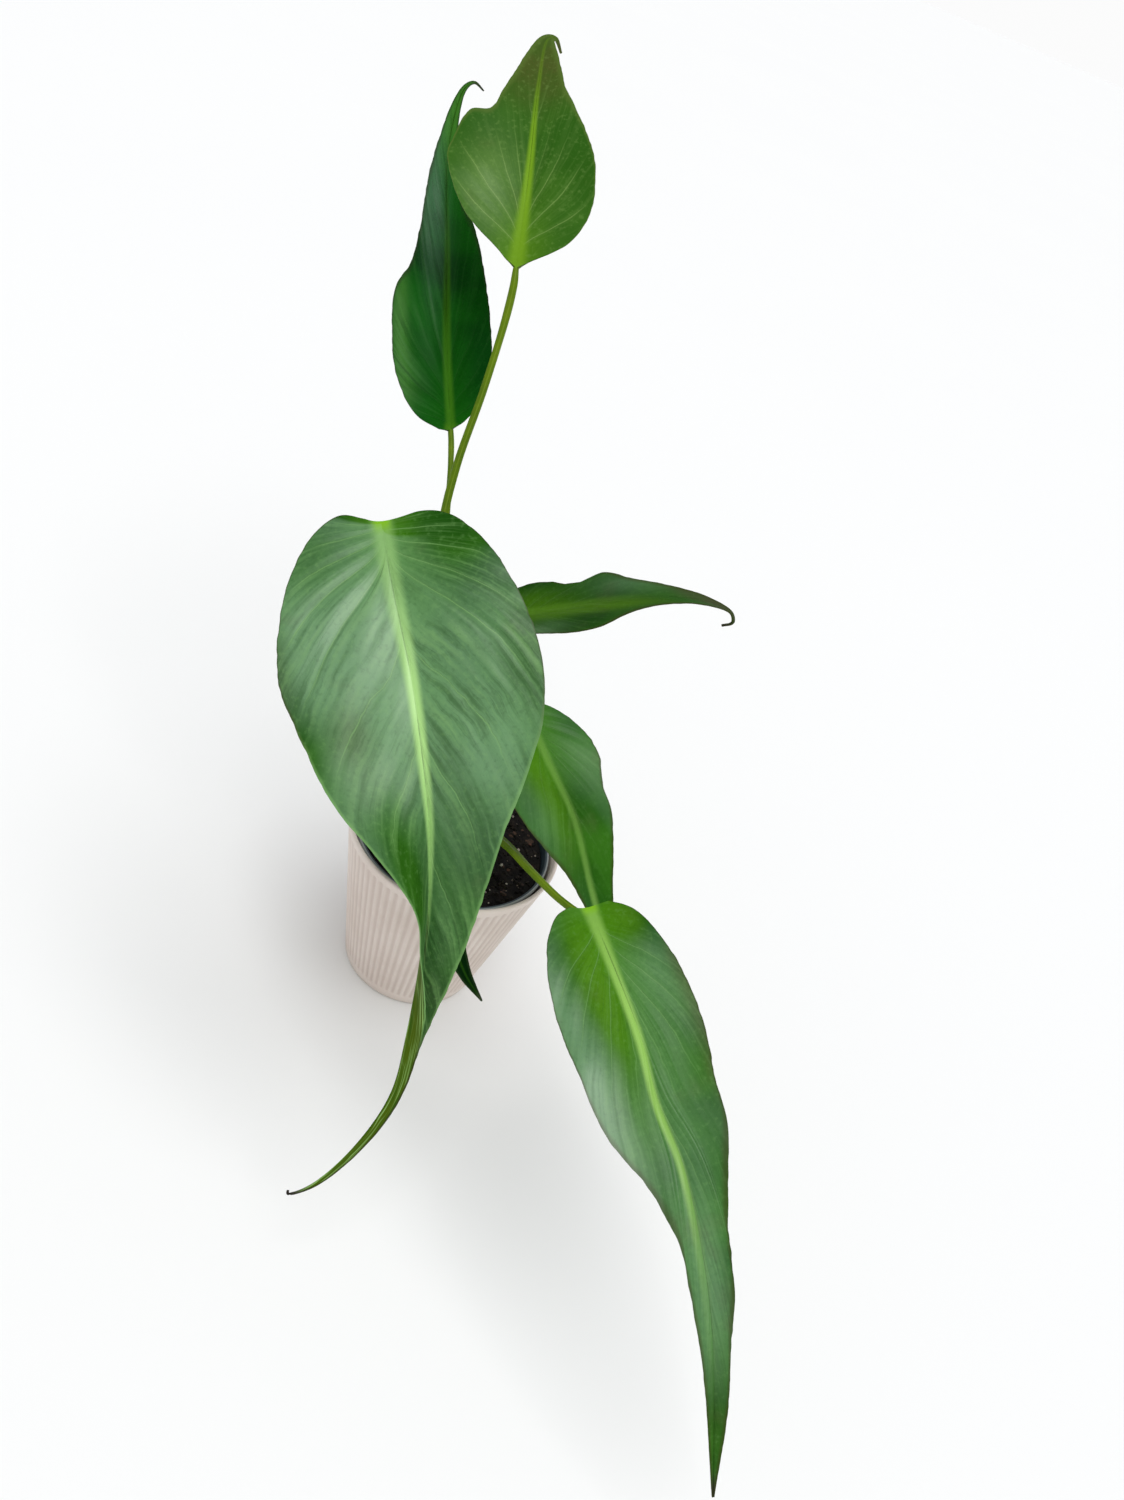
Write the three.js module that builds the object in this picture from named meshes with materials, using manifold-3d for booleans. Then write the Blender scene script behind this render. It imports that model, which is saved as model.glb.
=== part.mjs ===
// A potted flame monstera: seven long drip-tipped leaves on a short leaning stem, in a nursery pot
// of soil that stands in a ribbed white pot. Millimetres, +Z up, the origin under the pot's centre.
import * as THREE from "three";
import { mergeVertices } from "three/addons/utils/BufferGeometryUtils.js";
import Module from "manifold-3d";

const wasm = await Module();
wasm.setup();

// Outer pot: a tapered ribbed wall with a plain foot and rim.
const POT_HEIGHT = 130;
const POT_RIM_RADIUS = 72;
const POT_FOOT_RADIUS = 48;
const POT_WALL = 2.8;
const POT_FLOOR = 5;
const RIB_COUNT = 72;
const RIB_DEPTH = 1;
const RIB_START_HEIGHT = 7;
const RIB_END_HEIGHT = 124;
const RIB_RUN_OUT = 3;
const POT_FOOT_BEVEL = 2;
const POT_RIM_BEVEL = 1;

// Inner nursery pot: thin plastic with a rolled rim and drain holes.
const NURSERY_RIM_RADIUS = 66.2;
const NURSERY_FOOT_RADIUS = 44;
const NURSERY_TOP = 125;
const NURSERY_WALL = 1.4;
const NURSERY_ROLL = 1.1;
const NURSERY_ROLL_HEIGHT = 3;
const NURSERY_BEVEL = 0.6;
const NURSERY_FOOT_BEVEL = 2;
const NURSERY_SEGMENTS = 40;
const DRAIN_HOLE_RADIUS = 4;
const DRAIN_HOLE_COUNT = 4;
const DRAIN_CIRCLE_RADIUS = 27;
const DRAIN_HOLE_SIDES = 12;

// Soil: a filling with a lumpy top and the hole that the stem stands in.
const SOIL_TOP = 119;
const SOIL_LUMP = 0.55;
const SOIL_LUMP_SPAN = 9;
const SOIL_RINGS = 7;
const STEM_HOLE_DEPTH = 16;

// Pieces that rest on or in each other keep this gap.
const SEAT_GAP = 0.3;

// Stem: a short leaning axis, ringed at each node where a leaf stalk leaves it.
const STEM_AXIS = [
  [0, 0, SOIL_TOP - STEM_HOLE_DEPTH + SEAT_GAP],
  [0, 0, 124],
  [-6, 1, 150],
  [-18, 4, 185],
  [-33, 8, 220],
];
const STEM_RADIUS = 8;
const STEM_TOP_RADIUS = 5.5;
const STEM_NODES = 7;
const NODE_SWELL = 0.12;

// Blades: a skin about a millimetre thick, with a keel under the midrib.
const BLADE_THICKNESS = 0.9;
const KEEL_DEPTH = 1.8;
const KEEL_HALF_WIDTH = 5;
const KEEL_TAPER = 0.85;
const PUCKER_HEIGHT = 0.5;
const PUCKER_FULL_REACH = 20;
const FOOT_EASE = 8;
const LOBE_BOW = 1.7;
const LEAST_FOOT_STEP = 0.4;
const END_CROWDING = 0.4;
const HALF_LAG = 0.8;

// Stalks: where one meets its blade, the gap, how far past the notch it reaches, and its last bend,
// then how much its sheath swells at the stem and how much it thins toward the blade.
const STALK_GAP = 0.65;
const STALK_REACH = 3;
const STALK_BEND = 6;
const SHEATH_SWELL = 1.1;
const SHEATH_FALL = 5;
const STALK_TAPER = 0.18;
const STALK_SIDES = 8;
const STEM_SIDES = 12;

// Each leaf: its midrib from the stalk to the tip, where the upper face looks at a share of the
// length, how steeply each half rises from the midrib, and the outline of each half laid flat as
// [distance from the midrib, distance along it]. Right and left are as seen with the tip down.
// sweep is how far the side veins run forward for each millimetre outward.
const TOWARD_VIEWER = [0, -0.78, 0.62];
const HALF_TURNED = [0.7, -0.55, 0.55];
const TAIL_TURNED = [0.92, 0.24, 0.32];
const LEAVES = [
  {
    name: "leaf_a",
    color: 0x4f7f4a,
    midrib: [
      [-84, -65, 359], [-64, -91, 344], [-38, -119, 321], [-18, -140, 297], [0, -156, 266],
      [18, -173, 212], [30, -191, 159], [34, -203, 125], [26.5, -217, 88], [13, -229, 59], [3, -233, 49],
    ],
    facing: [
      [0, TOWARD_VIEWER], [0.28, TOWARD_VIEWER], [0.52, HALF_TURNED], [0.72, TAIL_TURNED], [1, TAIL_TURNED],
    ],
    fold: [[0, 8], [0.26, 10], [0.5, 50], [0.74, 60], [1, 30]],
    cup: -0.0012,
    wave: { height: 2.2, count: 3.5, phase: 0.1 },
    sweep: 1.5,
    bow: 1.1,
    veins: 16,
    columns: 6,
    right: [
      [8, 1], [20, 0], [33, 5], [48, 23], [59, 52], [64, 85], [61, 109], [52, 131],
      [38, 158], [29, 188], [19, 226], [11, 262], [4.8, 305], [3.4, 345], [2, 378], [0.7, 396],
    ],
    left: [
      [8, -3], [20, -7], [34, 1], [48, 23], [60, 55], [63, 78], [56, 108], [45, 141],
      [33, 172], [22, 206], [12, 246], [5.2, 300], [3.6, 340], [2.2, 375], [0.7, 396],
    ],
    stalk: {
      joins: "beneath",
      node: 0.62,
      radius: 2.7,
      path: [[-34, -8, 225], [-58, -22, 270], [-76, -38, 312]],
    },
  },
  {
    name: "leaf_b",
    color: 0x5a8a3c,
    midrib: [
      [-89, 100, 448], [-106, 142, 488], [-126, 193, 523],
      [-136, 228, 543], [-133, 236, 544], [-128, 237, 538],
    ],
    facing: [[0, [0, -0.75, 0.65]], [1, [0, -0.75, 0.65]]],
    fold: [[0, 14], [1, 8]],
    cup: -0.001,
    wave: { height: 3, count: 3, phase: 0.3 },
    sweep: 1.1,
    bow: 1.2,
    veins: 11,
    columns: 5,
    right: [
      [10, 9], [35, 30], [47, 56], [46, 77], [38, 97], [26, 101], [20, 117],
      [13, 140], [6, 162], [1.4, 176], [0.7, 184],
    ],
    left: [
      [9, 7], [28, 16], [39, 38], [39, 60], [32, 88], [24, 108], [16, 126],
      [10, 150], [1.6, 176], [0.7, 184],
    ],
    stalk: {
      joins: "behind",
      node: 0.97,
      radius: 2.5,
      path: [[-58, 28, 264], [-76, 45, 308], [-81, 58, 343], [-82, 75, 386], [-85, 92, 425]],
    },
  },
  {
    name: "leaf_c",
    color: 0x1f5a2a,
    midrib: [
      [-97, 89, 348], [-120, 120, 382], [-148, 168, 423], [-179, 226, 464],
      [-191, 272, 492], [-188, 282, 496], [-182, 286, 493],
    ],
    facing: [[0, [0.1, -0.75, 0.65]], [1, [0.1, -0.75, 0.65]]],
    fold: [[0, 22], [1, 30]],
    cup: -0.002,
    wave: { height: 1.8, count: 3, phase: 0 },
    sweep: 1.3,
    bow: 1.1,
    veins: 12,
    columns: 5,
    right: [
      [8, 0], [22, 7], [33, 28], [36, 58], [34, 84], [25, 101], [20, 123],
      [14, 163], [8, 200], [4, 236], [0.7, 268],
    ],
    left: [
      [10, 5], [20, 14], [28, 34], [29, 66], [25, 100], [19, 130], [10, 160],
      [6, 200], [3, 236], [0.7, 268],
    ],
    stalk: {
      joins: "behind",
      node: 0.84,
      radius: 2,
      path: [[-47, 22, 244], [-73, 50, 300], [-88, 75, 333]],
    },
  },
  {
    name: "leaf_d",
    color: 0x376f28,
    midrib: [
      [-24, 35, 273], [-8, 38, 282], [11, 41, 294], [29, 44, 305], [61, 51, 321],
      [87, 57, 327], [104, 58, 326], [107, 57, 321], [102, 56, 317],
    ],
    facing: [[0, [0, -0.1, 1]], [1, [0, -0.1, 1]]],
    fold: [[0, 12], [1, 20]],
    cup: -0.002,
    wave: { height: 1.2, count: 2.5, phase: 0 },
    sweep: 1.1,
    bow: 1.2,
    veins: 10,
    columns: 5,
    right: [
      [9, -2], [18, 4], [25, 17], [25, 30], [20.5, 41], [19.5, 51], [23.5, 65],
      [15, 84], [8.5, 106], [4.5, 124], [1.6, 143], [0.8, 164],
    ],
    left: [
      [9, -2], [24, 10], [30, 28], [33, 50], [31, 65], [20, 83], [12, 102],
      [9, 114], [6, 132], [1.6, 144], [0.8, 164],
    ],
    stalk: {
      joins: "behind",
      node: 0.5,
      radius: 2.3,
      path: [[-21, 20, 215], [-26, 28, 248]],
    },
  },
  {
    name: "leaf_e",
    color: 0x4b823c,
    midrib: [[8, 9, 240], [40, -18, 226], [67, -35, 209], [90, -49, 181], [107, -56, 155], [112, -58, 130]],
    facing: [[0, [0.3, -0.5, 0.8]], [1, [0.3, -0.5, 0.8]]],
    fold: [[0, 12], [1, 20]],
    cup: -0.002,
    wave: { height: 2, count: 2.5, phase: 0.4 },
    sweep: 1.3,
    bow: 1.1,
    veins: 10,
    columns: 5,
    right: [
      [9, 4], [21, 16], [29, 35], [29.5, 52], [23, 72], [23, 82], [19, 100],
      [13, 126], [8, 150], [0.7, 176],
    ],
    left: [
      [10, -6], [24, 4], [34, 22], [39, 50], [37, 75], [29, 92], [18, 111],
      [11, 131], [7, 152], [0.7, 176],
    ],
    stalk: {
      joins: "behind",
      node: 0.4,
      radius: 2.6,
      path: [[0, 10, 190], [2, 14, 218]],
    },
  },
  {
    name: "leaf_f",
    color: 0x50874b,
    midrib: [
      [92, -99, 206], [116, -130, 202], [141, -159, 193], [160, -184, 182],
      [181, -204, 172], [207, -234, 148], [226, -257, 123], [260, -293, 57],
    ],
    facing: [[0, [0.1, -0.6, 0.8]], [1, [0.1, -0.7, 0.7]]],
    fold: [[0, 10], [1, 30]],
    cup: -0.0025,
    wave: { height: 2.2, count: 4, phase: 0.2 },
    sweep: 1.2,
    bow: 1.15,
    veins: 14,
    columns: 5,
    right: [
      [12, 0], [24, 11], [32.5, 36], [34, 70], [32.5, 102], [30, 128], [21, 150],
      [15, 175], [13, 205], [9, 228], [7, 262], [0.7, 311],
    ],
    left: [
      [11, -3], [20, 1], [32, 19], [39, 46], [40.5, 84], [35.5, 110], [28, 134],
      [19, 160], [12, 182], [11, 203], [7, 240], [4, 272], [0.7, 311],
    ],
    stalk: {
      joins: "beneath",
      node: 0.22,
      radius: 2.6,
      path: [[13, -22, 160], [34, -40, 171], [57, -66, 182], [78, -86, 190]],
    },
  },
  {
    name: "leaf_g",
    color: 0x123f18,
    midrib: [
      [-25, -25, 172], [-10, -53, 160], [8, -81, 152], [29, -103, 142], [44, -115, 133], [59, -119, 122],
    ],
    facing: [[0, [-0.2, -0.6, 0.75]], [1, [0.1, -0.6, 0.75]]],
    fold: [[0, 14], [1, 26]],
    cup: -0.002,
    wave: { height: 1.2, count: 2, phase: 0.2 },
    sweep: 1.2,
    bow: 1.1,
    veins: 8,
    columns: 4,
    right: [[8, 0], [17, 12], [20, 34], [17, 58], [11, 82], [7, 104], [0.7, 140]],
    left: [[8, 0], [18, 12], [22, 34], [20, 58], [13, 84], [7, 108], [0.7, 140]],
    stalk: {
      joins: "behind",
      node: 0.3,
      radius: 2.3,
      path: [[-18, -12, 163]],
    },
  },
];

// Small helpers for curves that pass through chosen points.
const vector = ([x, y, z = 0]) => new THREE.Vector3(x, y, z);

function curveThrough(points) {
  const curve = new THREE.CatmullRomCurve3(points.map(vector), false, "centripetal");
  curve.arcLengthDivisions = 800;
  return curve;
}

const smooth = (share) => share * share * (3 - 2 * share);

// The value at a share, eased between the stops of a list of [share, number or vector].
function valueAt(stops, share) {
  let i = 0;
  while (i < stops.length - 2 && share > stops[i + 1][0]) i += 1;
  const [startShare, start] = stops[i];
  const [endShare, end] = stops[i + 1];
  const ease = smooth(THREE.MathUtils.clamp((share - startShare) / (endShare - startShare), 0, 1));
  if (Array.isArray(start)) return start.map((value, k) => value + (end[k] - value) * ease);
  return start + (end - start) * ease;
}

// The midrib's place and its three directions at a distance along it. Behind the stalk, where the
// lobes reach back, the midrib is carried on in a straight line.
function midribFrame(leaf, curve, length, along) {
  const share = THREE.MathUtils.clamp(along / length, 0, 1);
  const forward = curve.getTangentAt(share);
  const place = curve.getPointAt(share).addScaledVector(forward, Math.min(along, 0));
  const up = vector(valueAt(leaf.facing, share));
  up.addScaledVector(forward, -up.dot(forward)).normalize();
  const side = new THREE.Vector3().crossVectors(up, forward);
  return { share, place, forward, up, side };
}

// How far a spot of the flat blade lies above the midrib's plane, and the slope of its half.
function bladeLift(leaf, share, across, halfWidth) {
  const slope = THREE.MathUtils.degToRad(valueAt(leaf.fold, share));
  const out = Math.abs(across);
  const { height, count, phase } = leaf.wave;
  const ripple = Math.sin(2 * Math.PI * (count * share + phase) + Math.sign(across) * HALF_LAG);
  const lift = out * Math.sin(slope) + leaf.cup * out * out + height * (out / halfWidth) ** 2 * ripple;
  return { lift, slope };
}

// Points along the outline of one half, closer together near the lobes and near the tip.
function marginPoints(outline, rowCount) {
  const curve = curveThrough(outline);
  const points = [];
  for (let i = 0; i <= rowCount; i += 1) {
    const share = i / rowCount;
    points.push(curve.getPointAt(share - (END_CROWDING * Math.sin(2 * Math.PI * share)) / (2 * Math.PI)));
  }
  return points;
}

// Rows that follow the side veins, from the lobes to the tip, and columns from margin to margin.
function bladeRows(leaf) {
  const rowCount = 2 * leaf.veins;
  const midrib = curveThrough(leaf.midrib);
  const length = midrib.getLength();
  const halfWidth = Math.max(...leaf.right.map((p) => p[0]), ...leaf.left.map((p) => p[0]));
  const right = marginPoints(leaf.right, rowCount);
  const left = marginPoints(leaf.left, rowCount);
  const feet = [0];
  const first = (right[0].y + left[0].y - leaf.sweep * (right[0].x + left[0].x)) / 2;
  const eased = (reach) => (reach + Math.hypot(reach, FOOT_EASE)) / 2;
  for (let i = 1; i <= rowCount; i += 1) {
    const reach = (right[i].y + left[i].y - leaf.sweep * (right[i].x + left[i].x)) / 2;
    feet.push(Math.max(feet[i - 1] + LEAST_FOOT_STEP, eased(reach) - eased(first)));
  }
  const scale = length / feet[rowCount];
  const rows = [];
  for (let i = 0; i <= rowCount; i += 1) {
    const foot = feet[i] * scale;
    const row = [];
    for (let j = -leaf.columns; j <= leaf.columns; j += 1) {
      const share = Math.abs(j) / leaf.columns;
      const margin = j > 0 ? right[i] : left[i];
      const across = Math.sign(j) * margin.x * share;
      const bow = margin.y < foot ? LOBE_BOW : leaf.bow;
      const along = foot + (margin.y - foot) * share ** bow;
      const frame = midribFrame(leaf, midrib, length, along);
      const { lift, slope } = bladeLift(leaf, frame.share, across, halfWidth);
      const reach = Math.min(1, margin.x / PUCKER_FULL_REACH);
      const pucker = (i % 2) * PUCKER_HEIGHT * Math.sin(Math.PI * share) * reach;
      const place = frame.place
        .clone()
        .addScaledVector(frame.side, across * Math.cos(slope))
        .addScaledVector(frame.up, lift + pucker);
      row.push({ place, up: frame.up, slope, across, share: frame.share });
    }
    rows.push(row);
  }
  return rows;
}

// A closed blade: the same rows raised and lowered by half the thickness, split alike on both
// faces, with a keel under the midrib and a narrow wall round the edge.
function bladeGeometry(leaf) {
  const rows = bladeRows(leaf);
  const width = rows[0].length;
  const positions = [];
  for (const side of [1, -1]) {
    for (const row of rows) {
      for (const spot of row) {
        const half = BLADE_THICKNESS / 2 / Math.cos(spot.slope);
        const nearMidrib = Math.max(0, 1 - Math.abs(spot.across) / KEEL_HALF_WIDTH);
        const keel = side < 0 ? KEEL_DEPTH * (1 - KEEL_TAPER * spot.share) * nearMidrib ** 2 : 0;
        positions.push(...spot.place.clone().addScaledVector(spot.up, side * (half + keel)).toArray());
      }
    }
  }
  const lower = rows.length * width;
  const at = (i, j) => i * width + j;
  const index = [];
  const quad = (a, b, c, d) => index.push(a, b, c, a, c, d);
  for (let i = 0; i < rows.length - 1; i += 1) {
    for (let j = 0; j < width - 1; j += 1) {
      const corners = [at(i, j), at(i + 1, j), at(i + 1, j + 1), at(i, j + 1)];
      if (j < leaf.columns) corners.push(corners.shift());
      quad(...corners);
      quad(...[corners[0], corners[3], corners[2], corners[1]].map((k) => k + lower));
    }
  }
  const edge = [];
  for (let j = 0; j < width - 1; j += 1) edge.push(at(0, j));
  for (let i = 0; i < rows.length - 1; i += 1) edge.push(at(i, width - 1));
  for (let j = width - 1; j > 0; j -= 1) edge.push(at(rows.length - 1, j));
  for (let i = rows.length - 1; i > 0; i -= 1) edge.push(at(i, 0));
  edge.forEach((a, k) => {
    const b = edge[(k + 1) % edge.length];
    quad(a, b, b + lower, a + lower);
  });
  const geometry = new THREE.BufferGeometry();
  geometry.setAttribute("position", new THREE.Float32BufferAttribute(positions, 3));
  geometry.setIndex(index);
  return geometry;
}

// A closed tube of varying radius along a curve, with the same number of steps between each two of
// its chosen points and a flat end at each side.
function tubeGeometry(curve, radiusAt, sides, stepsEach) {
  const steps = stepsEach * (curve.points.length - 1);
  const positions = [];
  const index = [];
  const normal = new THREE.Vector3(1, 0, 0);
  for (let i = 0; i <= steps; i += 1) {
    const centre = curve.getPoint(i / steps);
    const forward = curve.getTangent(i / steps);
    normal.addScaledVector(forward, -normal.dot(forward)).normalize();
    const binormal = new THREE.Vector3().crossVectors(forward, normal);
    for (let k = 0; k < sides; k += 1) {
      const turn = (2 * Math.PI * k) / sides;
      const spot = centre
        .clone()
        .addScaledVector(normal, radiusAt(i / steps) * Math.cos(turn))
        .addScaledVector(binormal, radiusAt(i / steps) * Math.sin(turn));
      positions.push(...spot.toArray());
    }
  }
  for (let i = 0; i < steps; i += 1) {
    for (let k = 0; k < sides; k += 1) {
      const next = (k + 1) % sides;
      const a = i * sides + k;
      const b = i * sides + next;
      index.push(a, b, b + sides, a, b + sides, a + sides);
    }
  }
  for (let k = 1; k < sides - 1; k += 1) {
    index.push(0, k + 1, k);
    index.push(steps * sides, steps * sides + k, steps * sides + k + 1);
  }
  const geometry = new THREE.BufferGeometry();
  geometry.setAttribute("position", new THREE.Float32BufferAttribute(positions, 3));
  geometry.setIndex(index);
  return geometry;
}

// Conversions to and from a closed solid, for joining and cutting.
function solidOf(geometry) {
  const bare = geometry.clone();
  bare.deleteAttribute("normal");
  bare.deleteAttribute("uv");
  const merged = mergeVertices(bare, 1e-4);
  return new wasm.Manifold(
    new wasm.Mesh({
      numProp: 3,
      vertProperties: new Float32Array(merged.attributes.position.array),
      triVerts: new Uint32Array(merged.index.array),
    }),
  );
}

function geometryOf(solid) {
  const mesh = solid.getMesh();
  const geometry = new THREE.BufferGeometry();
  geometry.setAttribute("position", new THREE.BufferAttribute(mesh.vertProperties, 3));
  geometry.setIndex(new THREE.BufferAttribute(mesh.triVerts, 1));
  return geometry;
}

// A stalk leaves the stem at its node, thick where its sheath clasps the stem. At its top it either
// runs on into the midrib or meets the midrib's keel from beneath.
function stalkGeometry(leaf, stem) {
  const midrib = curveThrough(leaf.midrib);
  const { place, forward, up } = midribFrame(leaf, midrib, midrib.getLength(), 0);
  const beneath = leaf.stalk.joins === "beneath";
  const drop = beneath ? BLADE_THICKNESS / 2 + KEEL_DEPTH + STALK_GAP : STALK_GAP;
  const end = place.clone().addScaledVector(forward, beneath ? STALK_REACH : -STALK_GAP);
  end.addScaledVector(up, -drop);
  const bend = end.clone().addScaledVector(forward, beneath ? -1 : -STALK_BEND);
  bend.addScaledVector(up, beneath ? -STALK_BEND : -1);
  const root = stem.getPointAt(leaf.stalk.node);
  const points = [root, ...leaf.stalk.path.map(vector), bend, end];
  const curve = new THREE.CatmullRomCurve3(points, false, "centripetal");
  const top = leaf.stalk.radius;
  const sheath = (share) => SHEATH_SWELL * (1 - share) ** SHEATH_FALL;
  const radiusAt = (share) => top * (1 + sheath(share) - STALK_TAPER * smooth(share));
  return tubeGeometry(curve, radiusAt, STALK_SIDES, 3);
}

function stemGeometry() {
  const stem = curveThrough(STEM_AXIS);
  const radiusAt = (share) => {
    const taper = STEM_RADIUS + (STEM_TOP_RADIUS - STEM_RADIUS) * share;
    const ring = Math.cos(Math.PI * STEM_NODES * share) ** 8;
    return taper * (1 + NODE_SWELL * ring * Math.sin(Math.PI * share));
  };
  let plant = solidOf(tubeGeometry(stem, radiusAt, STEM_SIDES, 6));
  for (const leaf of LEAVES) plant = plant.add(solidOf(stalkGeometry(leaf, stem)));
  return geometryOf(plant);
}

// A profile of [radius, height] pairs turned about the pot's axis.
function turned(profile, segments) {
  const lathe = new THREE.LatheGeometry(
    profile.map(([radius, height]) => new THREE.Vector2(radius, height)),
    segments,
  );
  return lathe.rotateX(Math.PI / 2);
}

const uprightCylinder = (radius, height, sides) =>
  new THREE.CylinderGeometry(radius, radius, height, sides).rotateX(Math.PI / 2);

const outerRadiusAt = (height) =>
  POT_FOOT_RADIUS + ((POT_RIM_RADIUS - POT_FOOT_RADIUS) * height) / POT_HEIGHT;

function outerPotGeometry() {
  const profile = [
    [0, 0],
    [POT_FOOT_RADIUS - POT_FOOT_BEVEL, 0],
    [POT_FOOT_RADIUS, POT_FOOT_BEVEL],
    [outerRadiusAt(RIB_START_HEIGHT), RIB_START_HEIGHT],
    [outerRadiusAt(RIB_START_HEIGHT + RIB_RUN_OUT), RIB_START_HEIGHT + RIB_RUN_OUT],
    [outerRadiusAt(RIB_END_HEIGHT - RIB_RUN_OUT), RIB_END_HEIGHT - RIB_RUN_OUT],
    [outerRadiusAt(RIB_END_HEIGHT), RIB_END_HEIGHT],
    [POT_RIM_RADIUS, POT_HEIGHT - POT_RIM_BEVEL],
    [POT_RIM_RADIUS - POT_RIM_BEVEL, POT_HEIGHT],
    [POT_RIM_RADIUS - POT_WALL, POT_HEIGHT - POT_RIM_BEVEL],
    [outerRadiusAt(POT_FLOOR) - POT_WALL, POT_FLOOR],
    [0, POT_FLOOR],
  ];
  const geometry = turned(profile, 2 * RIB_COUNT);
  const position = geometry.attributes.position;
  const firstRibbed = 4;
  const lastRibbed = 5;
  for (let k = 0; k < position.count; k += 1) {
    const row = k % profile.length;
    const column = Math.floor(k / profile.length);
    if (row < firstRibbed || row > lastRibbed || column % 2 === 0) continue;
    const radius = profile[row][0];
    const scale = (radius - RIB_DEPTH) / radius;
    position.setXY(k, position.getX(k) * scale, position.getY(k) * scale);
  }
  return geometry;
}

// Heights and radii of the nursery pot, which stands on the outer pot's floor.
const NURSERY_BOTTOM = POT_FLOOR + SEAT_GAP;
const nurseryRadiusAt = (height) =>
  NURSERY_FOOT_RADIUS +
  ((NURSERY_RIM_RADIUS - NURSERY_ROLL - NURSERY_FOOT_RADIUS) * (height - NURSERY_BOTTOM)) /
    (NURSERY_TOP - NURSERY_BOTTOM);

function nurseryPotGeometry() {
  const inner = (height) => nurseryRadiusAt(height) - NURSERY_WALL;
  const floor = NURSERY_BOTTOM + NURSERY_WALL;
  const rollFoot = NURSERY_TOP - NURSERY_ROLL_HEIGHT;
  const profile = [
    [0, NURSERY_BOTTOM],
    [NURSERY_FOOT_RADIUS - 2 * NURSERY_FOOT_BEVEL, NURSERY_BOTTOM],
    [NURSERY_FOOT_RADIUS - NURSERY_FOOT_BEVEL, NURSERY_BOTTOM + NURSERY_FOOT_BEVEL],
    [nurseryRadiusAt(rollFoot - NURSERY_ROLL), rollFoot - NURSERY_ROLL],
    [NURSERY_RIM_RADIUS, rollFoot],
    [NURSERY_RIM_RADIUS, NURSERY_TOP - NURSERY_BEVEL],
    [NURSERY_RIM_RADIUS - NURSERY_BEVEL, NURSERY_TOP],
    [inner(NURSERY_TOP) + NURSERY_BEVEL, NURSERY_TOP],
    [inner(NURSERY_TOP), NURSERY_TOP - NURSERY_BEVEL],
    [inner(floor + NURSERY_FOOT_BEVEL) - NURSERY_FOOT_BEVEL, floor + NURSERY_FOOT_BEVEL],
    [NURSERY_FOOT_RADIUS - 2 * NURSERY_FOOT_BEVEL - NURSERY_WALL, floor],
    [0, floor],
  ];
  let pot = solidOf(turned(profile, NURSERY_SEGMENTS));
  for (let k = 0; k < DRAIN_HOLE_COUNT; k += 1) {
    const turn = (2 * Math.PI * k) / DRAIN_HOLE_COUNT;
    const hole = uprightCylinder(DRAIN_HOLE_RADIUS, 6 * NURSERY_WALL, DRAIN_HOLE_SIDES);
    hole.translate(DRAIN_CIRCLE_RADIUS * Math.cos(turn), DRAIN_CIRCLE_RADIUS * Math.sin(turn), 0);
    hole.translate(0, 0, NURSERY_BOTTOM);
    pot = pot.subtract(solidOf(hole));
  }
  return geometryOf(pot);
}

function soilGeometry() {
  const bottom = NURSERY_BOTTOM + NURSERY_WALL + SEAT_GAP;
  const inner = (height) => nurseryRadiusAt(height) - NURSERY_WALL - SEAT_GAP;
  const bevel = 1.5 * NURSERY_FOOT_BEVEL;
  const profile = [
    [0, bottom],
    [NURSERY_FOOT_RADIUS - 2 * bevel, bottom],
    [inner(bottom + bevel) - NURSERY_FOOT_BEVEL, bottom + bevel],
    [inner(SOIL_TOP), SOIL_TOP],
  ];
  for (let k = 1; k <= SOIL_RINGS; k += 1) {
    profile.push([inner(SOIL_TOP) * (1 - k / SOIL_RINGS), SOIL_TOP]);
  }
  const geometry = turned(profile, NURSERY_SEGMENTS);
  const position = geometry.attributes.position;
  for (let k = 0; k < position.count; k += 1) {
    const radius = Math.hypot(position.getX(k), position.getY(k));
    if (position.getZ(k) < SOIL_TOP - 0.01 || radius > inner(SOIL_TOP) - 1 || radius < 1) continue;
    const x = position.getX(k) / SOIL_LUMP_SPAN;
    const y = position.getY(k) / SOIL_LUMP_SPAN;
    const lump = Math.sin(2.1 * x + 1.3 * y) + Math.sin(1.7 * y - 2.6 * x + 1) + Math.sin(3.3 * y + x + 2);
    position.setZ(k, SOIL_TOP + SOIL_LUMP * lump);
  }
  const hole = uprightCylinder(STEM_RADIUS + 2 * SEAT_GAP, 2 * STEM_HOLE_DEPTH, 2 * STEM_SIDES);
  hole.translate(0, 0, SOIL_TOP);
  return geometryOf(solidOf(geometry).subtract(solidOf(hole)));
}

// Materials.
const leafMaterial = (color) => new THREE.MeshStandardMaterial({ color, roughness: 0.45, metalness: 0 });
const stalkMaterial = new THREE.MeshStandardMaterial({ color: 0x64791a, roughness: 0.5, metalness: 0 });
const potMaterial = new THREE.MeshStandardMaterial({ color: 0xf0ece6, roughness: 0.6, metalness: 0 });
const nurseryMaterial = new THREE.MeshStandardMaterial({ color: 0x9aa5a3, roughness: 0.6, metalness: 0 });
const soilMaterial = new THREE.MeshStandardMaterial({ color: 0x1c1210, roughness: 0.95, metalness: 0 });

function named(name, geometry, material) {
  const mesh = new THREE.Mesh(geometry, material);
  mesh.name = name;
  return mesh;
}

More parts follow.
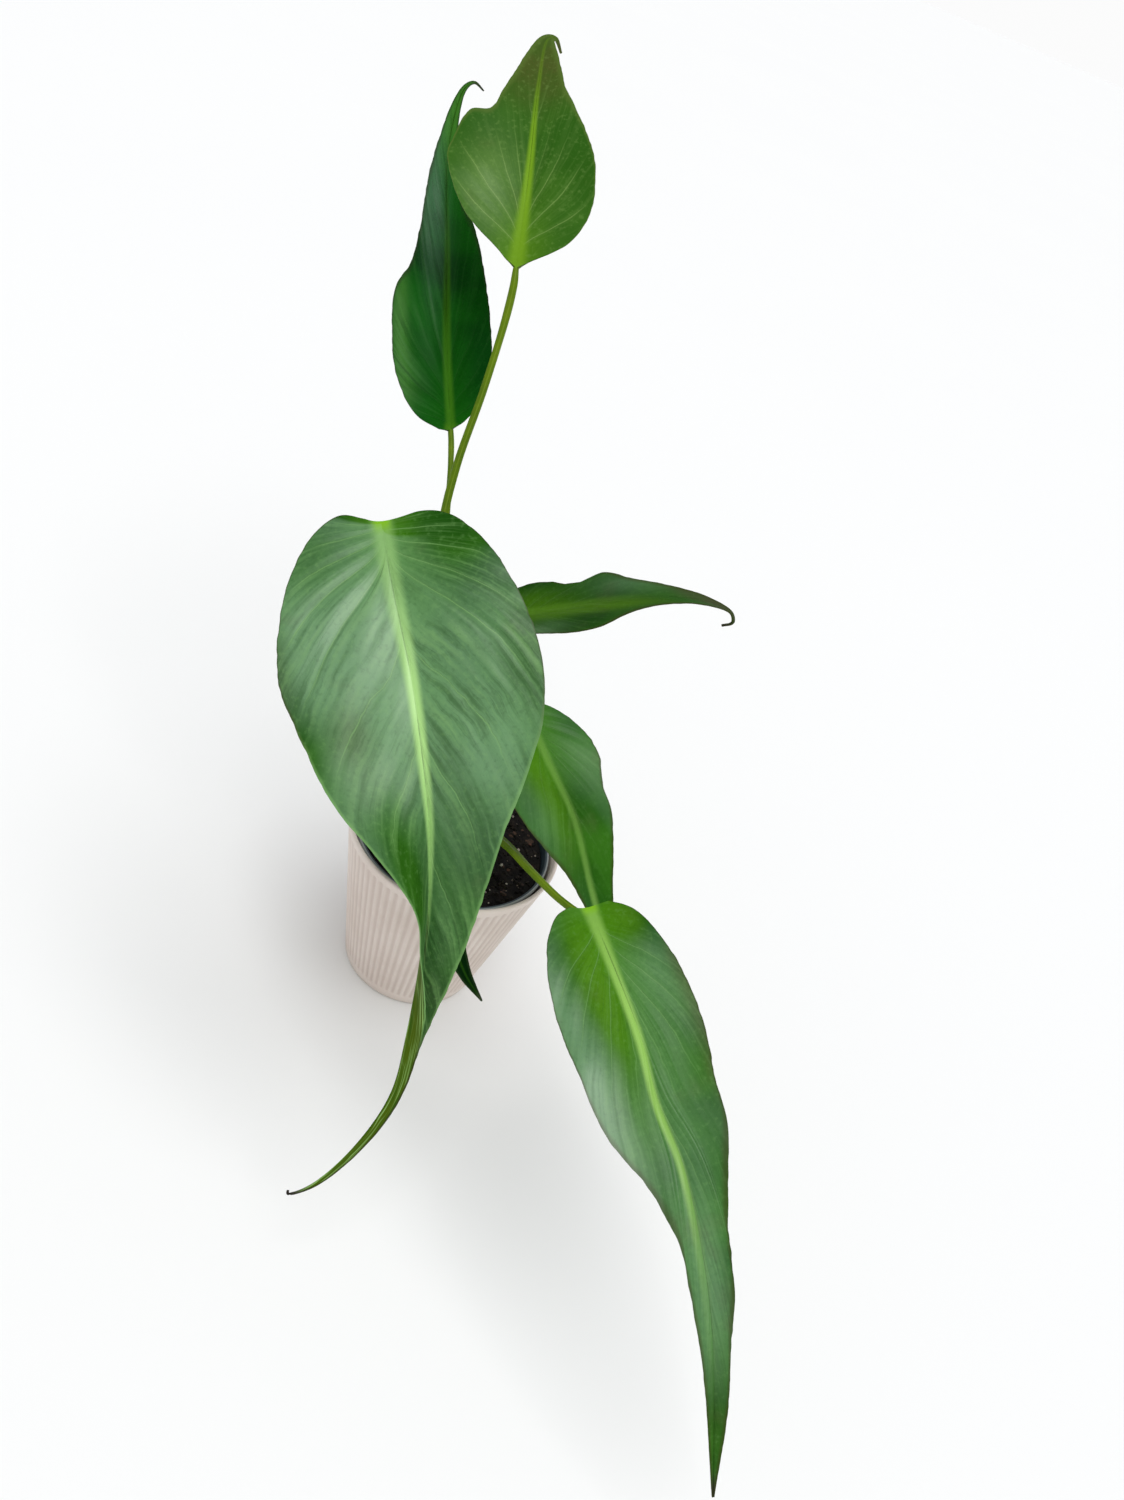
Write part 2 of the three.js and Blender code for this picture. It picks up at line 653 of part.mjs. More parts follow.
// Assembly.
const plant = new THREE.Group();
plant.add(named("outer_pot", outerPotGeometry(), potMaterial));
plant.add(named("nursery_pot", nurseryPotGeometry(), nurseryMaterial));
plant.add(named("soil", soilGeometry(), soilMaterial));
plant.add(named("stem_and_stalks", stemGeometry(), stalkMaterial));
for (const leaf of LEAVES) {
  plant.add(named(`${leaf.name}_blade`, bladeGeometry(leaf), leafMaterial(leaf.color)));
}

export default plant;
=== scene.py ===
# %% [markdown]
# A potted flame monstera, dressed for its portrait.
# The plant is a young climbing aroid with long drip-tipped leaves, in a dark potting mix, in a thin
# nursery pot that stands inside a ribbed white pot.
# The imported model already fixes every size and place. This lesson keeps those places and replaces
# each plain solid with a finer piece: veined blades, sheathed stalks, crumbly soil and fluted clay.

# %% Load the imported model
import math

import bpy
import numpy as np
from mathutils import Matrix, Vector, noise


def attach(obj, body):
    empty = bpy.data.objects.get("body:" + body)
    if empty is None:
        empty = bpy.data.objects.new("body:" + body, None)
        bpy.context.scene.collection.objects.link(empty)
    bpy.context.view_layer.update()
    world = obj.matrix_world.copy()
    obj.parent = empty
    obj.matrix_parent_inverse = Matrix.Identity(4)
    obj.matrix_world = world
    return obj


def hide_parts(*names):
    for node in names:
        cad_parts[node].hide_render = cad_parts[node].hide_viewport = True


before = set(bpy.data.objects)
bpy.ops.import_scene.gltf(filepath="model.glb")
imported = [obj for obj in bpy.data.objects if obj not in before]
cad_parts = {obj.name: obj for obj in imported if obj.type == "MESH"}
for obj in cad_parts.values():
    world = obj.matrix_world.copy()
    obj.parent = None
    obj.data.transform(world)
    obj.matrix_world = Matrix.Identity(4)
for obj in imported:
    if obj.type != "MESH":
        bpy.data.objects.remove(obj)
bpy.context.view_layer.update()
scene = bpy.context.scene
MM = 0.001

# %% [markdown]
# The camera comes first, because everything else is judged through it.
# The portrait is taken from above the front of the plant, looking down by 37 degrees, with the
# camera rolled so that the plant leans to the left in the picture.
# Its place and lens are plain numbers, so the view never depends on the pieces.

# %% Camera
CAMERA_PLACE = Vector((43.4, -553.5, 641.7)) * MM
LOOK_DOWN = math.radians(37)
ROLL = math.radians(23.5)
SENSOR_HEIGHT = 36
FOCAL_LENGTH = 27.05
lens = bpy.data.cameras.new("camera")
lens.sensor_fit = "VERTICAL"
lens.sensor_height = SENSOR_HEIGHT
lens.lens = FOCAL_LENGTH
camera = bpy.data.objects.new("camera", lens)
aim = Matrix.Rotation(math.pi / 2 - LOOK_DOWN, 4, "X") @ Matrix.Rotation(ROLL, 4, "Z")
camera.matrix_world = Matrix.Translation(CAMERA_PLACE) @ aim
scene.collection.objects.link(camera)
scene.camera = camera
print("camera at", [round(v, 3) for v in CAMERA_PLACE])

# %% [markdown]
# Every leaf, stalk and stem follows a smooth line through a few chosen points.
# Blender's own curve objects could carry them, but a blade also needs to know where it is along its
# midrib and which way its upper face looks, at thousands of places.
# So the line is a small class that works on whole arrays: a centripetal spline, which never
# overshoots between its points, measured once along its length.

# %% A smooth line through points
LINE_STEPS = 2401
NUDGE = 5e-4


class Line:
    """A smooth line through points, asked by share of its length."""

    def __init__(self, points):
        self.points = np.array(points, float)
        self.steps = np.linspace(0, 1, LINE_STEPS)
        places = self.at_step(self.steps)
        jumps = np.linalg.norm(np.diff(places, axis=0), axis=1)
        self.reach = np.concatenate([[0], np.cumsum(jumps)])
        self.length = self.reach[-1]

    def at_step(self, step):
        knots = self.points
        spot = np.clip(np.asarray(step, float), 0, 1) * (len(knots) - 1)
        i = np.minimum(spot.astype(int), len(knots) - 2)
        w = (spot - i)[..., None]
        ends = np.vstack([2 * knots[0] - knots[1], knots, 2 * knots[-1] - knots[-2]])
        p0, p1, p2, p3 = (ends[i + k] for k in range(4))
        root = lambda a, b: np.sum((a - b) ** 2, -1, keepdims=True) ** 0.25
        t0, t1, t2 = root(p0, p1), root(p1, p2), root(p2, p3)
        m1 = ((p1 - p0) / t0 - (p2 - p0) / (t0 + t1) + (p2 - p1) / t1) * t1
        m2 = ((p2 - p1) / t1 - (p3 - p1) / (t1 + t2) + (p3 - p2) / t2) * t1
        cubic = (2 * p1 - 2 * p2 + m1 + m2) * w**3
        return p1 + m1 * w + (-3 * p1 + 3 * p2 - 2 * m1 - m2) * w**2 + cubic

    def place(self, share):
        return self.at_step(self.step_of(share))

    def heading(self, share):
        step = self.step_of(share)
        before, after = (self.at_step(np.clip(step + k * NUDGE, 0, 1)) for k in (-1, 1))
        ahead = after - before
        return ahead / np.linalg.norm(ahead, axis=-1, keepdims=True)

    def step_of(self, share):
        return np.interp(np.clip(share, 0, 1) * self.length, self.reach, self.steps)


def ramp(value):
    """0 up to 0, 1 from 1 on, and eased in between."""
    value = np.clip(value, 0, 1)
    return value * value * (3 - 2 * value)


def eased_between(stops, share):
    """The value at a share, eased between stops of [share, number or direction]."""
    at = np.array([stop[0] for stop in stops], float)
    values = np.array([stop[1] for stop in stops], float)
    share = np.asarray(share, float)
    i = np.clip(np.searchsorted(at, share, side="right") - 1, 0, len(at) - 2)
    ease = ramp((share - at[i]) / (at[i + 1] - at[i]))
    if values.ndim > 1:
        ease = ease[..., None]
    return values[i] + (values[i + 1] - values[i]) * ease

# %% [markdown]
# The seven leaves, in millimetres.
# midrib runs from the stalk to the tip, facing is where the upper face looks at a share of the
# length, and fold is how steeply each half rises from the midrib, in degrees. cup bends each half as
# it runs outward, down below 0, and wave is the height, number and start of the ripples along it.
# right and left are the outlines of the two halves laid flat, as distance from the midrib and
# distance along it. rib_lean is how far the drawn midrib bends aside at half its length.
# sweep says how far a side vein runs forward for each millimetre outward, and veins how many a half
# has. rib is the half width of the midrib and pale its brightness, both by share of the length.
# pucker and wrinkle are heights of the relief, the second one for the left and the right half, and
# folds is how strong the fine folds along the veins are in each half, in the bump and in their painted
# light and shade: paler crests as painted highlight, darker creases as painted shade.
# first_vein is the first side vein that shows, clear is how plainly they all show, and rib_paint is
# the colour of the midrib. look picks the leaf's finish: mature, young or shaded, whose darker greens are
# painted shade. pale_margin is the share of the length from which the hair-thin margin is pale, and above 1
# it never is.
# wax_and_sheen is how thick the waxy bloom lies: it gives the coat its gloss and is also painted sheen,
# a paler grey-green painted over the skin. patches change it here and there: each is a place on the flat
# leaf, its reach across and along, the change in wax and painted sheen, and a tint that is fresh above 0 and
# brown below.
# depth scales the green skin of a whole leaf as painted shade: below 1 the leaf is painted darker, above 1
# lighter, leaf by leaf. bare_lobes counts the veins from the notch, in the left and the right lobe, before
# which there is no wax and no painted sheen.
# node is where the stalk leaves the stem, as a share of the stem's length, and radius is the stalk's.
# It follows path and joins its blade from behind or from beneath. USUAL holds what most leaves share.

# %% The seven leaves
TOWARD_VIEWER = [0, -0.78, 0.62]
HALF_TURNED = [0.7, -0.55, 0.55]
TAIL_TURNED = [0.92, 0.24, 0.32]
USUAL = dict(cup=-0.002, rib_lean=0, wax_and_sheen=0, first_vein=0.5, pale_margin=2, joins="behind")
LEAVES = {
    "leaf_a": dict(
        midrib=[
            [-84, -65, 359], [-64, -91, 344], [-38, -119, 321], [-18, -140, 297], [0, -156, 266],
            [18, -173, 212], [30, -191, 159], [34, -203, 125], [26.5, -217, 88], [13, -229, 59],
            [3, -233, 49], [2.3, -232, 50.6],
        ],
        facing=[
            [0, TOWARD_VIEWER], [0.28, TOWARD_VIEWER], [0.52, HALF_TURNED], [0.72, TAIL_TURNED],
            [1, TAIL_TURNED],
        ],
        fold=[[0, 8], [0.26, 10], [0.5, 50], [0.74, 60], [1, 30]], cup=-0.0012, wave=(2.2, 3.5, 0.1),
        sweep=1.8, veins=14, look="mature",
        rib=[[0, 5.2], [0.07, 4.6], [0.2, 3.2], [0.33, 2.5], [0.45, 1.6], [0.6, 0.8], [1, 0.5]],
        pale=[
            [0, 0.35], [0.1, 0.45], [0.2, 0.9], [0.28, 1], [0.38, 0.8], [0.46, 0.55], [0.55, 0.32],
            [0.7, 0.2], [1, 0.2],
        ],
        pucker=1.0, wrinkle=[0.48, 1.3], folds=[0.9, 1.25], clear=0.9, pale_margin=0.22,
        rib_paint=(170, 218, 128), depth=0.9, wax_and_sheen=0.75, bare_lobes=[0.7, 2.5],
        patches=[
            [38, 12, 28, 24, -0.95, 0], [-38, 14, 24, 26, -0.45, 0], [-20, 70, 18, 44, 0.45, 0],
            [34, 46, 18, 24, -0.25, 0], [26, 180, 22, 44, -0.5, 0], [-20, 172, 16, 42, -0.9, 0.1],
            [60, 80, 12, 40, -0.3, -0.28], [34, 124, 14, 18, 0.5, 0], [-46, 66, 12, 26, 0.5, 0],
            [-62, 70, 8, 40, -0.3, -0.4], [-56, 118, 12, 28, -0.8, 0], [-12, 120, 16, 60, 0.2, 0],
            [-32, 108, 14, 22, -0.15, -0.45], [4, 260, 40, 50, -0.65, -0.3],
        ],
        right=[
            [8, 1], [20, 0], [33, 5], [48, 23], [59, 52], [64, 85], [61, 109], [52, 131], [38, 158],
            [29, 188], [19, 226], [11, 262], [4.8, 305], [3.4, 345], [2, 378], [0.7, 396],
        ],
        left=[
            [8, -3], [20, -7], [34, 1], [48, 23], [60, 55], [63, 78], [56, 108], [45, 141], [33, 172],
            [22, 206], [12, 246], [5.2, 300], [3.6, 340], [2.2, 375], [0.7, 396],
        ],
        joins="beneath", node=0.62, radius=2.7, path=[[-34, -8, 225], [-58, -22, 270], [-76, -38, 312]],
    ),
    "leaf_b": dict(
        midrib=[
            [-89, 100, 448], [-106, 142, 488], [-126, 193, 523], [-136, 228, 543], [-133, 236, 544],
            [-128, 237, 538],
        ],
        facing=[[0, [0, -0.75, 0.65]], [1, [0, -0.75, 0.65]]],
        fold=[[0, 14], [1, 8]], cup=-0.001, wave=(3, 3, 0.3), sweep=4.6, veins=9, look="young",
        rib=[[0, 5.4], [0.12, 4.0], [0.3, 2.6], [0.5, 1.7], [0.8, 0.9], [1, 0.5]],
        pale=[[0, 0.6], [0.3, 0.95], [0.52, 0.8], [0.7, 0.35], [1, 0.1]],
        pucker=0.7, wrinkle=[0.25, 0.25], folds=[0.35, 0.35], first_vein=3, clear=0.7,
        rib_paint=(116, 158, 30), depth=0.88,
        patches=[[0, 150, 40, 36, 0, -1.3], [22, 52, 16, 34, 0.3, 0.4], [0, 10, 20, 20, 0, 0.3]],
        right=[
            [10, 9], [35, 30], [47, 56], [46, 77], [38, 97], [26, 101], [20, 117], [13, 140], [6, 162],
            [1.4, 176], [0.7, 184],
        ],
        left=[
            [9, 7], [28, 16], [39, 38], [39, 60], [32, 88], [24, 108], [16, 126], [10, 150], [1.6, 176],
            [0.7, 184],
        ],
        node=0.97, radius=2.5,
        path=[[-58, 28, 264], [-76, 45, 308], [-81, 58, 343], [-82, 75, 386], [-85, 92, 425]],
    ),
    "leaf_c": dict(
        midrib=[
            [-97, 89, 348], [-120, 120, 382], [-148, 168, 423], [-179, 226, 464], [-191, 272, 492],
            [-188, 282, 496], [-182, 286, 493],
        ],
        facing=[[0, [0.1, -0.75, 0.65]], [1, [0.1, -0.75, 0.65]]],
        fold=[[0, 22], [1, 30]], wave=(1.8, 3, 0), sweep=4.2, veins=8, look="shaded",
        rib=[[0, 3.0], [0.3, 2.4], [0.55, 1.6], [0.8, 0.8], [1, 0.4]],
        pale=[[0, 1], [0.35, 0.95], [0.6, 0.3], [1, 0.3]],
        pucker=1.6, wrinkle=[0.4, 1.0], folds=[0.5, 1.2], clear=0.2,
        rib_paint=(56, 110, 18), depth=1.0,
        patches=[
            [9, 146, 9, 60, 0.6, 0], [31, 66, 6, 46, 0.1, 0.9], [27, 26, 12, 20, 0.05, 0.4],
            [0, 250, 14, 60, 0.0, 1.3],
        ],
        right=[
            [8, 0], [22, 7], [33, 28], [36, 58], [34, 84], [25, 101], [20, 123], [14, 163], [8, 200],
            [4, 236], [0.7, 268],
        ],
        left=[
            [10, 5], [20, 14], [28, 34], [29, 66], [25, 100], [19, 130], [10, 160], [6, 200], [3, 236],
            [0.7, 268],
        ],
        node=0.84, radius=2, path=[[-47, 22, 244], [-73, 50, 300], [-88, 75, 333]],
    ),
    "leaf_d": dict(
        midrib=[
            [-24, 35, 273], [-8, 38, 282], [11, 41, 294], [29, 44, 305], [61, 51, 321], [87, 57, 327],
            [104, 58, 326], [107, 57, 321], [102, 56, 317],
        ],
        facing=[[0, [0, -0.1, 1]], [1, [0, -0.1, 1]]],
        fold=[[0, 12], [1, 20]], wave=(1.2, 2.5, 0), sweep=2.2, veins=9, look="mature",
        rib=[[0, 4], [0.5, 2.6], [0.8, 1.6], [1, 0.6]],
        pale=[[0, 0.16], [0.45, 0.1], [0.6, 0.02], [1, 0]],
        pucker=0.9, wrinkle=[0.25, 0.25], folds=[0.25, 0.25], clear=0.15,
        rib_paint=(120, 170, 60), depth=0.6,
        patches=[
            [14, 84, 10, 24, 0.4, 0], [-7, 62, 9, 60, 0, 0.8], [6, 20, 14, 30, 0, 0.5],
            [-28, 28, 8, 14, 0.3, 0.3], [6, 132, 14, 26, 0.1, -1.2],
        ],
        right=[
            [9, -2], [18, 4], [25, 17], [25, 30], [20.5, 41], [19.5, 51], [23.5, 65], [15, 84], [8.5, 106],
            [4.5, 124], [1.6, 143], [0.8, 164],
        ],
        left=[
            [9, -2], [24, 10], [30, 28], [33, 50], [31, 65], [20, 83], [12, 102], [9, 114], [6, 132],
            [1.6, 144], [0.8, 164],
        ],
        node=0.5, radius=2.3, path=[[-21, 20, 215], [-26, 28, 248]],
    ),
    "leaf_e": dict(
        midrib=[
            [8, 9, 240], [40, -18, 226], [67, -35, 209], [90, -49, 181], [107, -56, 155], [112, -58, 130],
        ],
        facing=[[0, [0.3, -0.5, 0.8]], [1, [0.3, -0.5, 0.8]]],
        fold=[[0, 12], [1, 20]], wave=(2, 2.5, 0.4), sweep=2.3, veins=9, look="mature",
        rib=[[0, 3.0], [0.4, 2.4], [0.8, 2.4], [1, 0.6]],
        pale=[[0, 0.3], [0.25, 0.36], [0.5, 0.3], [0.8, 0.55], [1, 0.1]],
        pucker=0.7, wrinkle=[0.25, 0.2], folds=[0.35, 0.3], clear=0.2,
        rib_paint=(138, 184, 88), depth=1.05, rib_lean=-2, wax_and_sheen=0.1,
        patches=[
            [20, 50, 12, 50, 0.15, 0.1], [-13, 58, 15, 60, -0.15, 0.55], [-26, 74, 12, 26, 0.3, 0],
            [9, 120, 9, 36, -0.5, 0],
        ],
        right=[
            [9, 4], [21, 16], [29, 35], [29.5, 52], [23, 72], [23, 82], [19, 100], [13, 126], [8, 150],
            [0.7, 176],
        ],
        left=[
            [10, -6], [24, 4], [34, 22], [39, 50], [37, 75], [29, 92], [18, 111], [11, 131], [7, 152],
            [0.7, 176],
        ],
        node=0.4, radius=2.6, path=[[0, 10, 190], [2, 14, 218]],
    ),
    "leaf_f": dict(
        midrib=[
            [92, -99, 206], [116, -130, 202], [141, -159, 193], [160, -184, 182], [181, -204, 172],
            [207, -234, 148], [226, -257, 123], [260, -293, 57],
        ],
        facing=[[0, [0.1, -0.6, 0.8]], [1, [0.1, -0.7, 0.7]]],
        fold=[[0, 10], [1, 30]], cup=-0.0025, wave=(2.2, 4, 0.2), sweep=5.0, veins=11, look="mature",
        rib=[[0, 4.2], [0.15, 2.7], [0.45, 2.1], [0.65, 2.7], [0.8, 2.0], [1, 0.8]],
        pale=[
            [0, 0.5], [0.2, 0.85], [0.35, 0.75], [0.48, 0.56], [0.58, 0.24], [0.7, 0.08], [0.85, 0], [1, 0],
        ],
        pucker=0.8, wrinkle=[0.35, 0.4], folds=[0.6, 0.6], first_vein=3, clear=0.7,
        rib_paint=(156, 204, 96), depth=1.02, rib_lean=-2.2, wax_and_sheen=0.4,
        patches=[
            [-14, 52, 14, 64, -0.6, 0.6], [-31, 96, 14, 40, 0.6, 0], [-38, 50, 8, 30, 0.4, 0],
            [35, 70, 8, 60, -0.2, -0.8], [22, 40, 14, 24, 0.2, 0], [26, 100, 14, 24, -0.3, 0],
            [0, 285, 30, 60, -0.5, -0.25], [0, 205, 10, 44, 0.45, 0], [22, 196, 10, 50, -0.6, 0],
            [18, 12, 18, 24, -0.6, 0.5],
        ],
        right=[
            [12, 0], [24, 11], [32.5, 36], [34, 70], [32.5, 102], [30, 128], [21, 150], [15, 175],
            [13, 205], [9, 228], [7, 262], [0.7, 311],
        ],
        left=[
            [11, -3], [20, 1], [32, 19], [39, 46], [40.5, 84], [35.5, 110], [28, 134], [19, 160], [12, 182],
            [11, 203], [7, 240], [4, 272], [0.7, 311],
        ],
        joins="beneath", node=0.22, radius=2.6,
        path=[[13, -22, 160], [34, -40, 171], [57, -66, 182], [78, -86, 190]],
    ),
    "leaf_g": dict(
        midrib=[
            [-25, -25, 172], [-10, -53, 160], [8, -81, 152], [29, -103, 142], [44, -115, 133],
            [59, -119, 122],
        ],
        facing=[[0, [-0.2, -0.6, 0.75]], [1, [0.1, -0.6, 0.75]]],
        fold=[[0, 14], [1, 26]], wave=(1.2, 2, 0.2), sweep=2, veins=8, look="shaded",
        rib=[[0, 2.2], [0.5, 1.4], [1, 0.4]],
        pale=[[0, 0.8], [0.5, 0.4], [1, 0.2]],
        pucker=0.6, wrinkle=[0.4, 0.4], folds=[0.3, 0.3], clear=0,
        rib_paint=(56, 110, 18), depth=0.24,
        patches=[[8, 60, 6, 30, 0.1, 0]],
        right=[[8, 0], [17, 12], [20, 34], [17, 58], [11, 82], [7, 104], [0.7, 140]],
        left=[[8, 0], [18, 12], [22, 34], [20, 58], [13, 84], [7, 108], [0.7, 140]],
        node=0.3, radius=2.3, path=[[-18, -12, 163]],
    ),
}
for name, leaf in LEAVES.items():
    leaf.update({**USUAL, **leaf}, line=Line(leaf["midrib"]))
    print(name, "midrib", round(leaf["line"].length), "mm")

# %% [markdown]
# A blade is a flat leaf shape that has been folded along its midrib, cupped and waved.
# It could be sculpted, or a flat cut-out could be bent with modifiers, but then its veins would have
# to be lined up by hand.
# Here one function carries any flat spot to its place in space, so the outline, the relief and the
# drawing of the veins all share the same flat coordinates.

# %% From the flat leaf to its place
HALF_LAG = 0.8


def midrib_frame(leaf, along):
    """Place and directions of the midrib at distances along it; lobes reach back in a straight line."""
    share = np.clip(along / leaf["line"].length, 0, 1)
    forward = leaf["line"].heading(share)
    place = leaf["line"].place(share) + forward * np.minimum(along, 0)[..., None]
    up = eased_between(leaf["facing"], share)
    up = up - forward * np.sum(up * forward, -1, keepdims=True)
    up /= np.linalg.norm(up, axis=-1, keepdims=True)
    return share, place, forward, up, np.cross(up, forward)


def blade_place(leaf, across, along, lift):
    """Where a flat spot lies, raised by a little relief, with its upward direction and slope."""
    share, place, _, up, side = midrib_frame(leaf, along)
    slope = np.radians(eased_between(leaf["fold"], share))
    out = np.abs(across)
    half = max(point[0] for point in leaf["right"] + leaf["left"])
    height, count, phase = leaf["wave"]
    ripple = np.sin(2 * np.pi * (count * share + phase) + np.sign(across) * HALF_LAG)
    rise = out * np.sin(slope) + leaf["cup"] * out**2 + height * (out / half) ** 2 * ripple + lift
    return place + side * (across * np.cos(slope))[..., None] + up * rise[..., None], up, slope

# %% [markdown]
# A blade's mesh is a grid whose rows follow the side veins, because that is how the leaf grew and
# how its surface puckers: each row starts at the midrib and runs forward and outward to the margin.
# Near the notch the rows fan out from the stalk into the lobes.
# The rows' number is kept as a coordinate, so a vein is simply every row with a whole number.

# %% Rows of the blade
FOOT_EASE = 8
LEAST_FOOT = 24
TAIL_SWEEP = 0.9
ROWS_PER_VEIN = 24
COLUMN_STEP = 2.1
END_CROWDING = 0.4
MARGIN_WAVE = 0.45


def cloud(x, y, z=0.0):
    return noise.noise(Vector((x, y, z)))


def margin_points(outline, rows, seed):
    """The outline of a half at each row, with the small uneven waves of a real margin."""
    share = np.linspace(0, 1, rows + 1)
    points = Line(outline).place(share - END_CROWDING * np.sin(2 * np.pi * share) / (2 * np.pi))
    waves = [cloud(0.1 * y, seed) + 0.7 * cloud(0.26 * y, seed + 5) for y in points[:, 1]]
    points[:, 0] += MARGIN_WAVE * np.array(waves) * np.clip(points[:, 0] / 10, 0, 1)
    return points


def vein_path(share, lobe):
    """How far a side vein has run forward at a share outward: steep, then flatter, then steep again."""
    if lobe:
        return share**1.7
    return 0.62 * share**0.45 + 0.38 * share**3


def sweep_at(leaf, along):
    """The side veins' forward sweep, which grows towards the tail."""
    in_tail = ramp((along / leaf["line"].length - 0.3) / 0.3)
    return leaf["sweep"] * (1 + TAIL_SWEEP * in_tail)


def blade_grid(leaf, seed):
    """Flat coordinates of each spot, the row number as a vein count, and the share outward."""
    rows = leaf["veins"] * ROWS_PER_VEIN
    halves = {
        1: margin_points(leaf["right"], rows, seed),
        -1: margin_points(leaf["left"], rows, seed + 9),
    }
    reach = sum(half[:, 1] - sweep_at(leaf, half[:, 1]) * half[:, 0] for half in halves.values()) / 2
    eased = (reach + np.hypot(reach, FOOT_EASE)) / 2
    feet = np.zeros(rows + 1)
    for i in range(1, rows + 1):
        feet[i] = max(feet[i - 1] + LEAST_FOOT / rows, eased[i] - eased[0])
    feet *= leaf["line"].length / feet[-1]
    columns = max(12, int(np.max(halves[1][:, 0]) / COLUMN_STEP))
    share = (np.arange(columns + 1) / columns) ** 1.3
    across, along = [], []
    for j in range(-columns, columns + 1):
        half = halves[1 if j > 0 else -1]
        out = share[abs(j)]
        forward = np.where(half[:, 1] < feet, vein_path(out, True), vein_path(out, False))
        across.append(np.sign(j) * half[:, 0] * out)
        along.append(feet + (half[:, 1] - feet) * forward)
    outward = share[np.abs(np.arange(-columns, columns + 1))]
    count = np.arange(rows + 1) / ROWS_PER_VEIN
    return np.array(across).T, np.array(along).T, count, outward, halves

# %% [markdown]
# The relief of a blade is what the eye reads first: the midrib stands as a low broad ridge, the side
# veins lie in shallow furrows, and the skin puffs up between them.
# Bump alone can't show that in the outline or under a raking light, so these forms are in the mesh,
# and only the fine net of veins is left to the finish.
# Underneath, the midrib is a deep keel and the side veins stand out.

# %% Points and faces into a mesh
CREASE_ANGLE = math.radians(48)


def build_mesh(name, points, faces, slots, uv_layers):
    """A mesh in metres from points in millimetres, with material slots and flat coordinates."""
    mesh = bpy.data.meshes.new(name)
    mesh.from_pydata((np.asarray(points) * MM).tolist(), [], [list(map(int, face)) for face in faces])
    mesh.polygons.foreach_set("material_index", np.asarray(slots, np.int32))
    corner = np.zeros(len(mesh.loops), np.int32)
    mesh.loops.foreach_get("vertex_index", corner)
    for layer, values in uv_layers.items():
        by_corner = np.asarray(values, np.float32)[corner].ravel()
        mesh.uv_layers.new(name=layer).uv.foreach_set("vector", by_corner)
    mesh.shade_smooth()
    mesh.set_sharp_from_angle(angle=CREASE_ANGLE)
    return mesh

# %% Relief and bloom of a blade
FULL_HALF_WIDTH = 20
PANEL_GAP = 12
FOLD_GAP = 20
STREAK_GAP = 18


def vein_spacing(across, along):
    """Millimetres between neighbouring side veins, measured straight across them."""
    next_row = np.stack([np.gradient(across, axis=0), np.gradient(along, axis=0)])
    next_column = np.stack([np.gradient(across, axis=1), np.gradient(along, axis=1)])
    area = np.abs(next_row[0] * next_column[1] - next_row[1] * next_column[0])
    return ROWS_PER_VEIN * area / (np.hypot(*next_column) + 1e-6)


def relief(leaf, across, along, count, outward, spacing, seed):
    """Height of the skin in millimetres: swollen panels, long wrinkles along the veins, ruffled edge."""
    full = np.clip(np.abs(across[:, -1:]) / FULL_HALF_WIDTH, 0, 1)
    roomy = np.clip(spacing / FOLD_GAP, 0, 1) ** 1.5
    between = 0.5 - 0.5 * np.cos(2 * np.pi * count)[:, None]
    swell = np.sin(np.pi * outward**0.75)[None, :] * full
    panels = leaf["pucker"] * between**0.7 * swell * np.clip(spacing / PANEL_GAP, 0, 1) ** 1.5
    long_waves = np.zeros_like(across)
    ruffle = np.zeros_like(across)
    for i, j in np.ndindex(across.shape):
        x, c, side = across[i, j], count[i] * 25, np.sign(across[i, j])
        broad, fine = cloud(x / 19, c / 4.4, seed + side), cloud(x / 11, c / 2.3, seed + 7 + side)
        long_waves[i, j] = broad + 0.6 * fine
        ruffle[i, j] = cloud(along[i, j] / 7, seed + 3 * side, 3)
    inner = np.clip(np.abs(across) / 9, 0, 1) * (1 - outward[None, :] ** 8)
    edge = np.clip((outward[None, :] - 0.78) / 0.22, 0, 1) ** 2 * full
    wrinkle = np.where(across < 0, leaf["wrinkle"][0], leaf["wrinkle"][1])
    return panels + wrinkle * (0.35 * long_waves * inner * full * roomy + 0.5 * ruffle * edge)


def bloom_and_sheen(leaf, across, along, count):
    """The wax, with its painted sheen, and the tint at each spot: an even coat, changed by a few broad
    patches.
    """
    wax_and_sheen, tint = np.full_like(across, leaf["wax_and_sheen"]), np.zeros_like(across)
    for x, y, reach_across, reach_along, more_wax_and_sheen, more_tint in leaf["patches"]:
        near = np.exp(-(((across - x) / reach_across) ** 2) - ((along - y) / reach_along) ** 2)
        wax_and_sheen, tint = wax_and_sheen + more_wax_and_sheen * near, tint + more_tint * near
    if "bare_lobes" in leaf:
        bare = np.where(across < 0, leaf["bare_lobes"][0], leaf["bare_lobes"][1])
        wax_and_sheen = wax_and_sheen * ramp((count[:, None] - bare) / 0.3)
    return np.clip(wax_and_sheen, 0, 1), tint

# %% One blade
KEEL_DEPTH = 1.8
KEEL_HALF_WIDTH = 5
EDGE_HALF_THICKNESS = 0.24
CORE_HALF_THICKNESS = 0.42
RIDGE_HEIGHT = 0.5
VEIN_RISE = 0.25


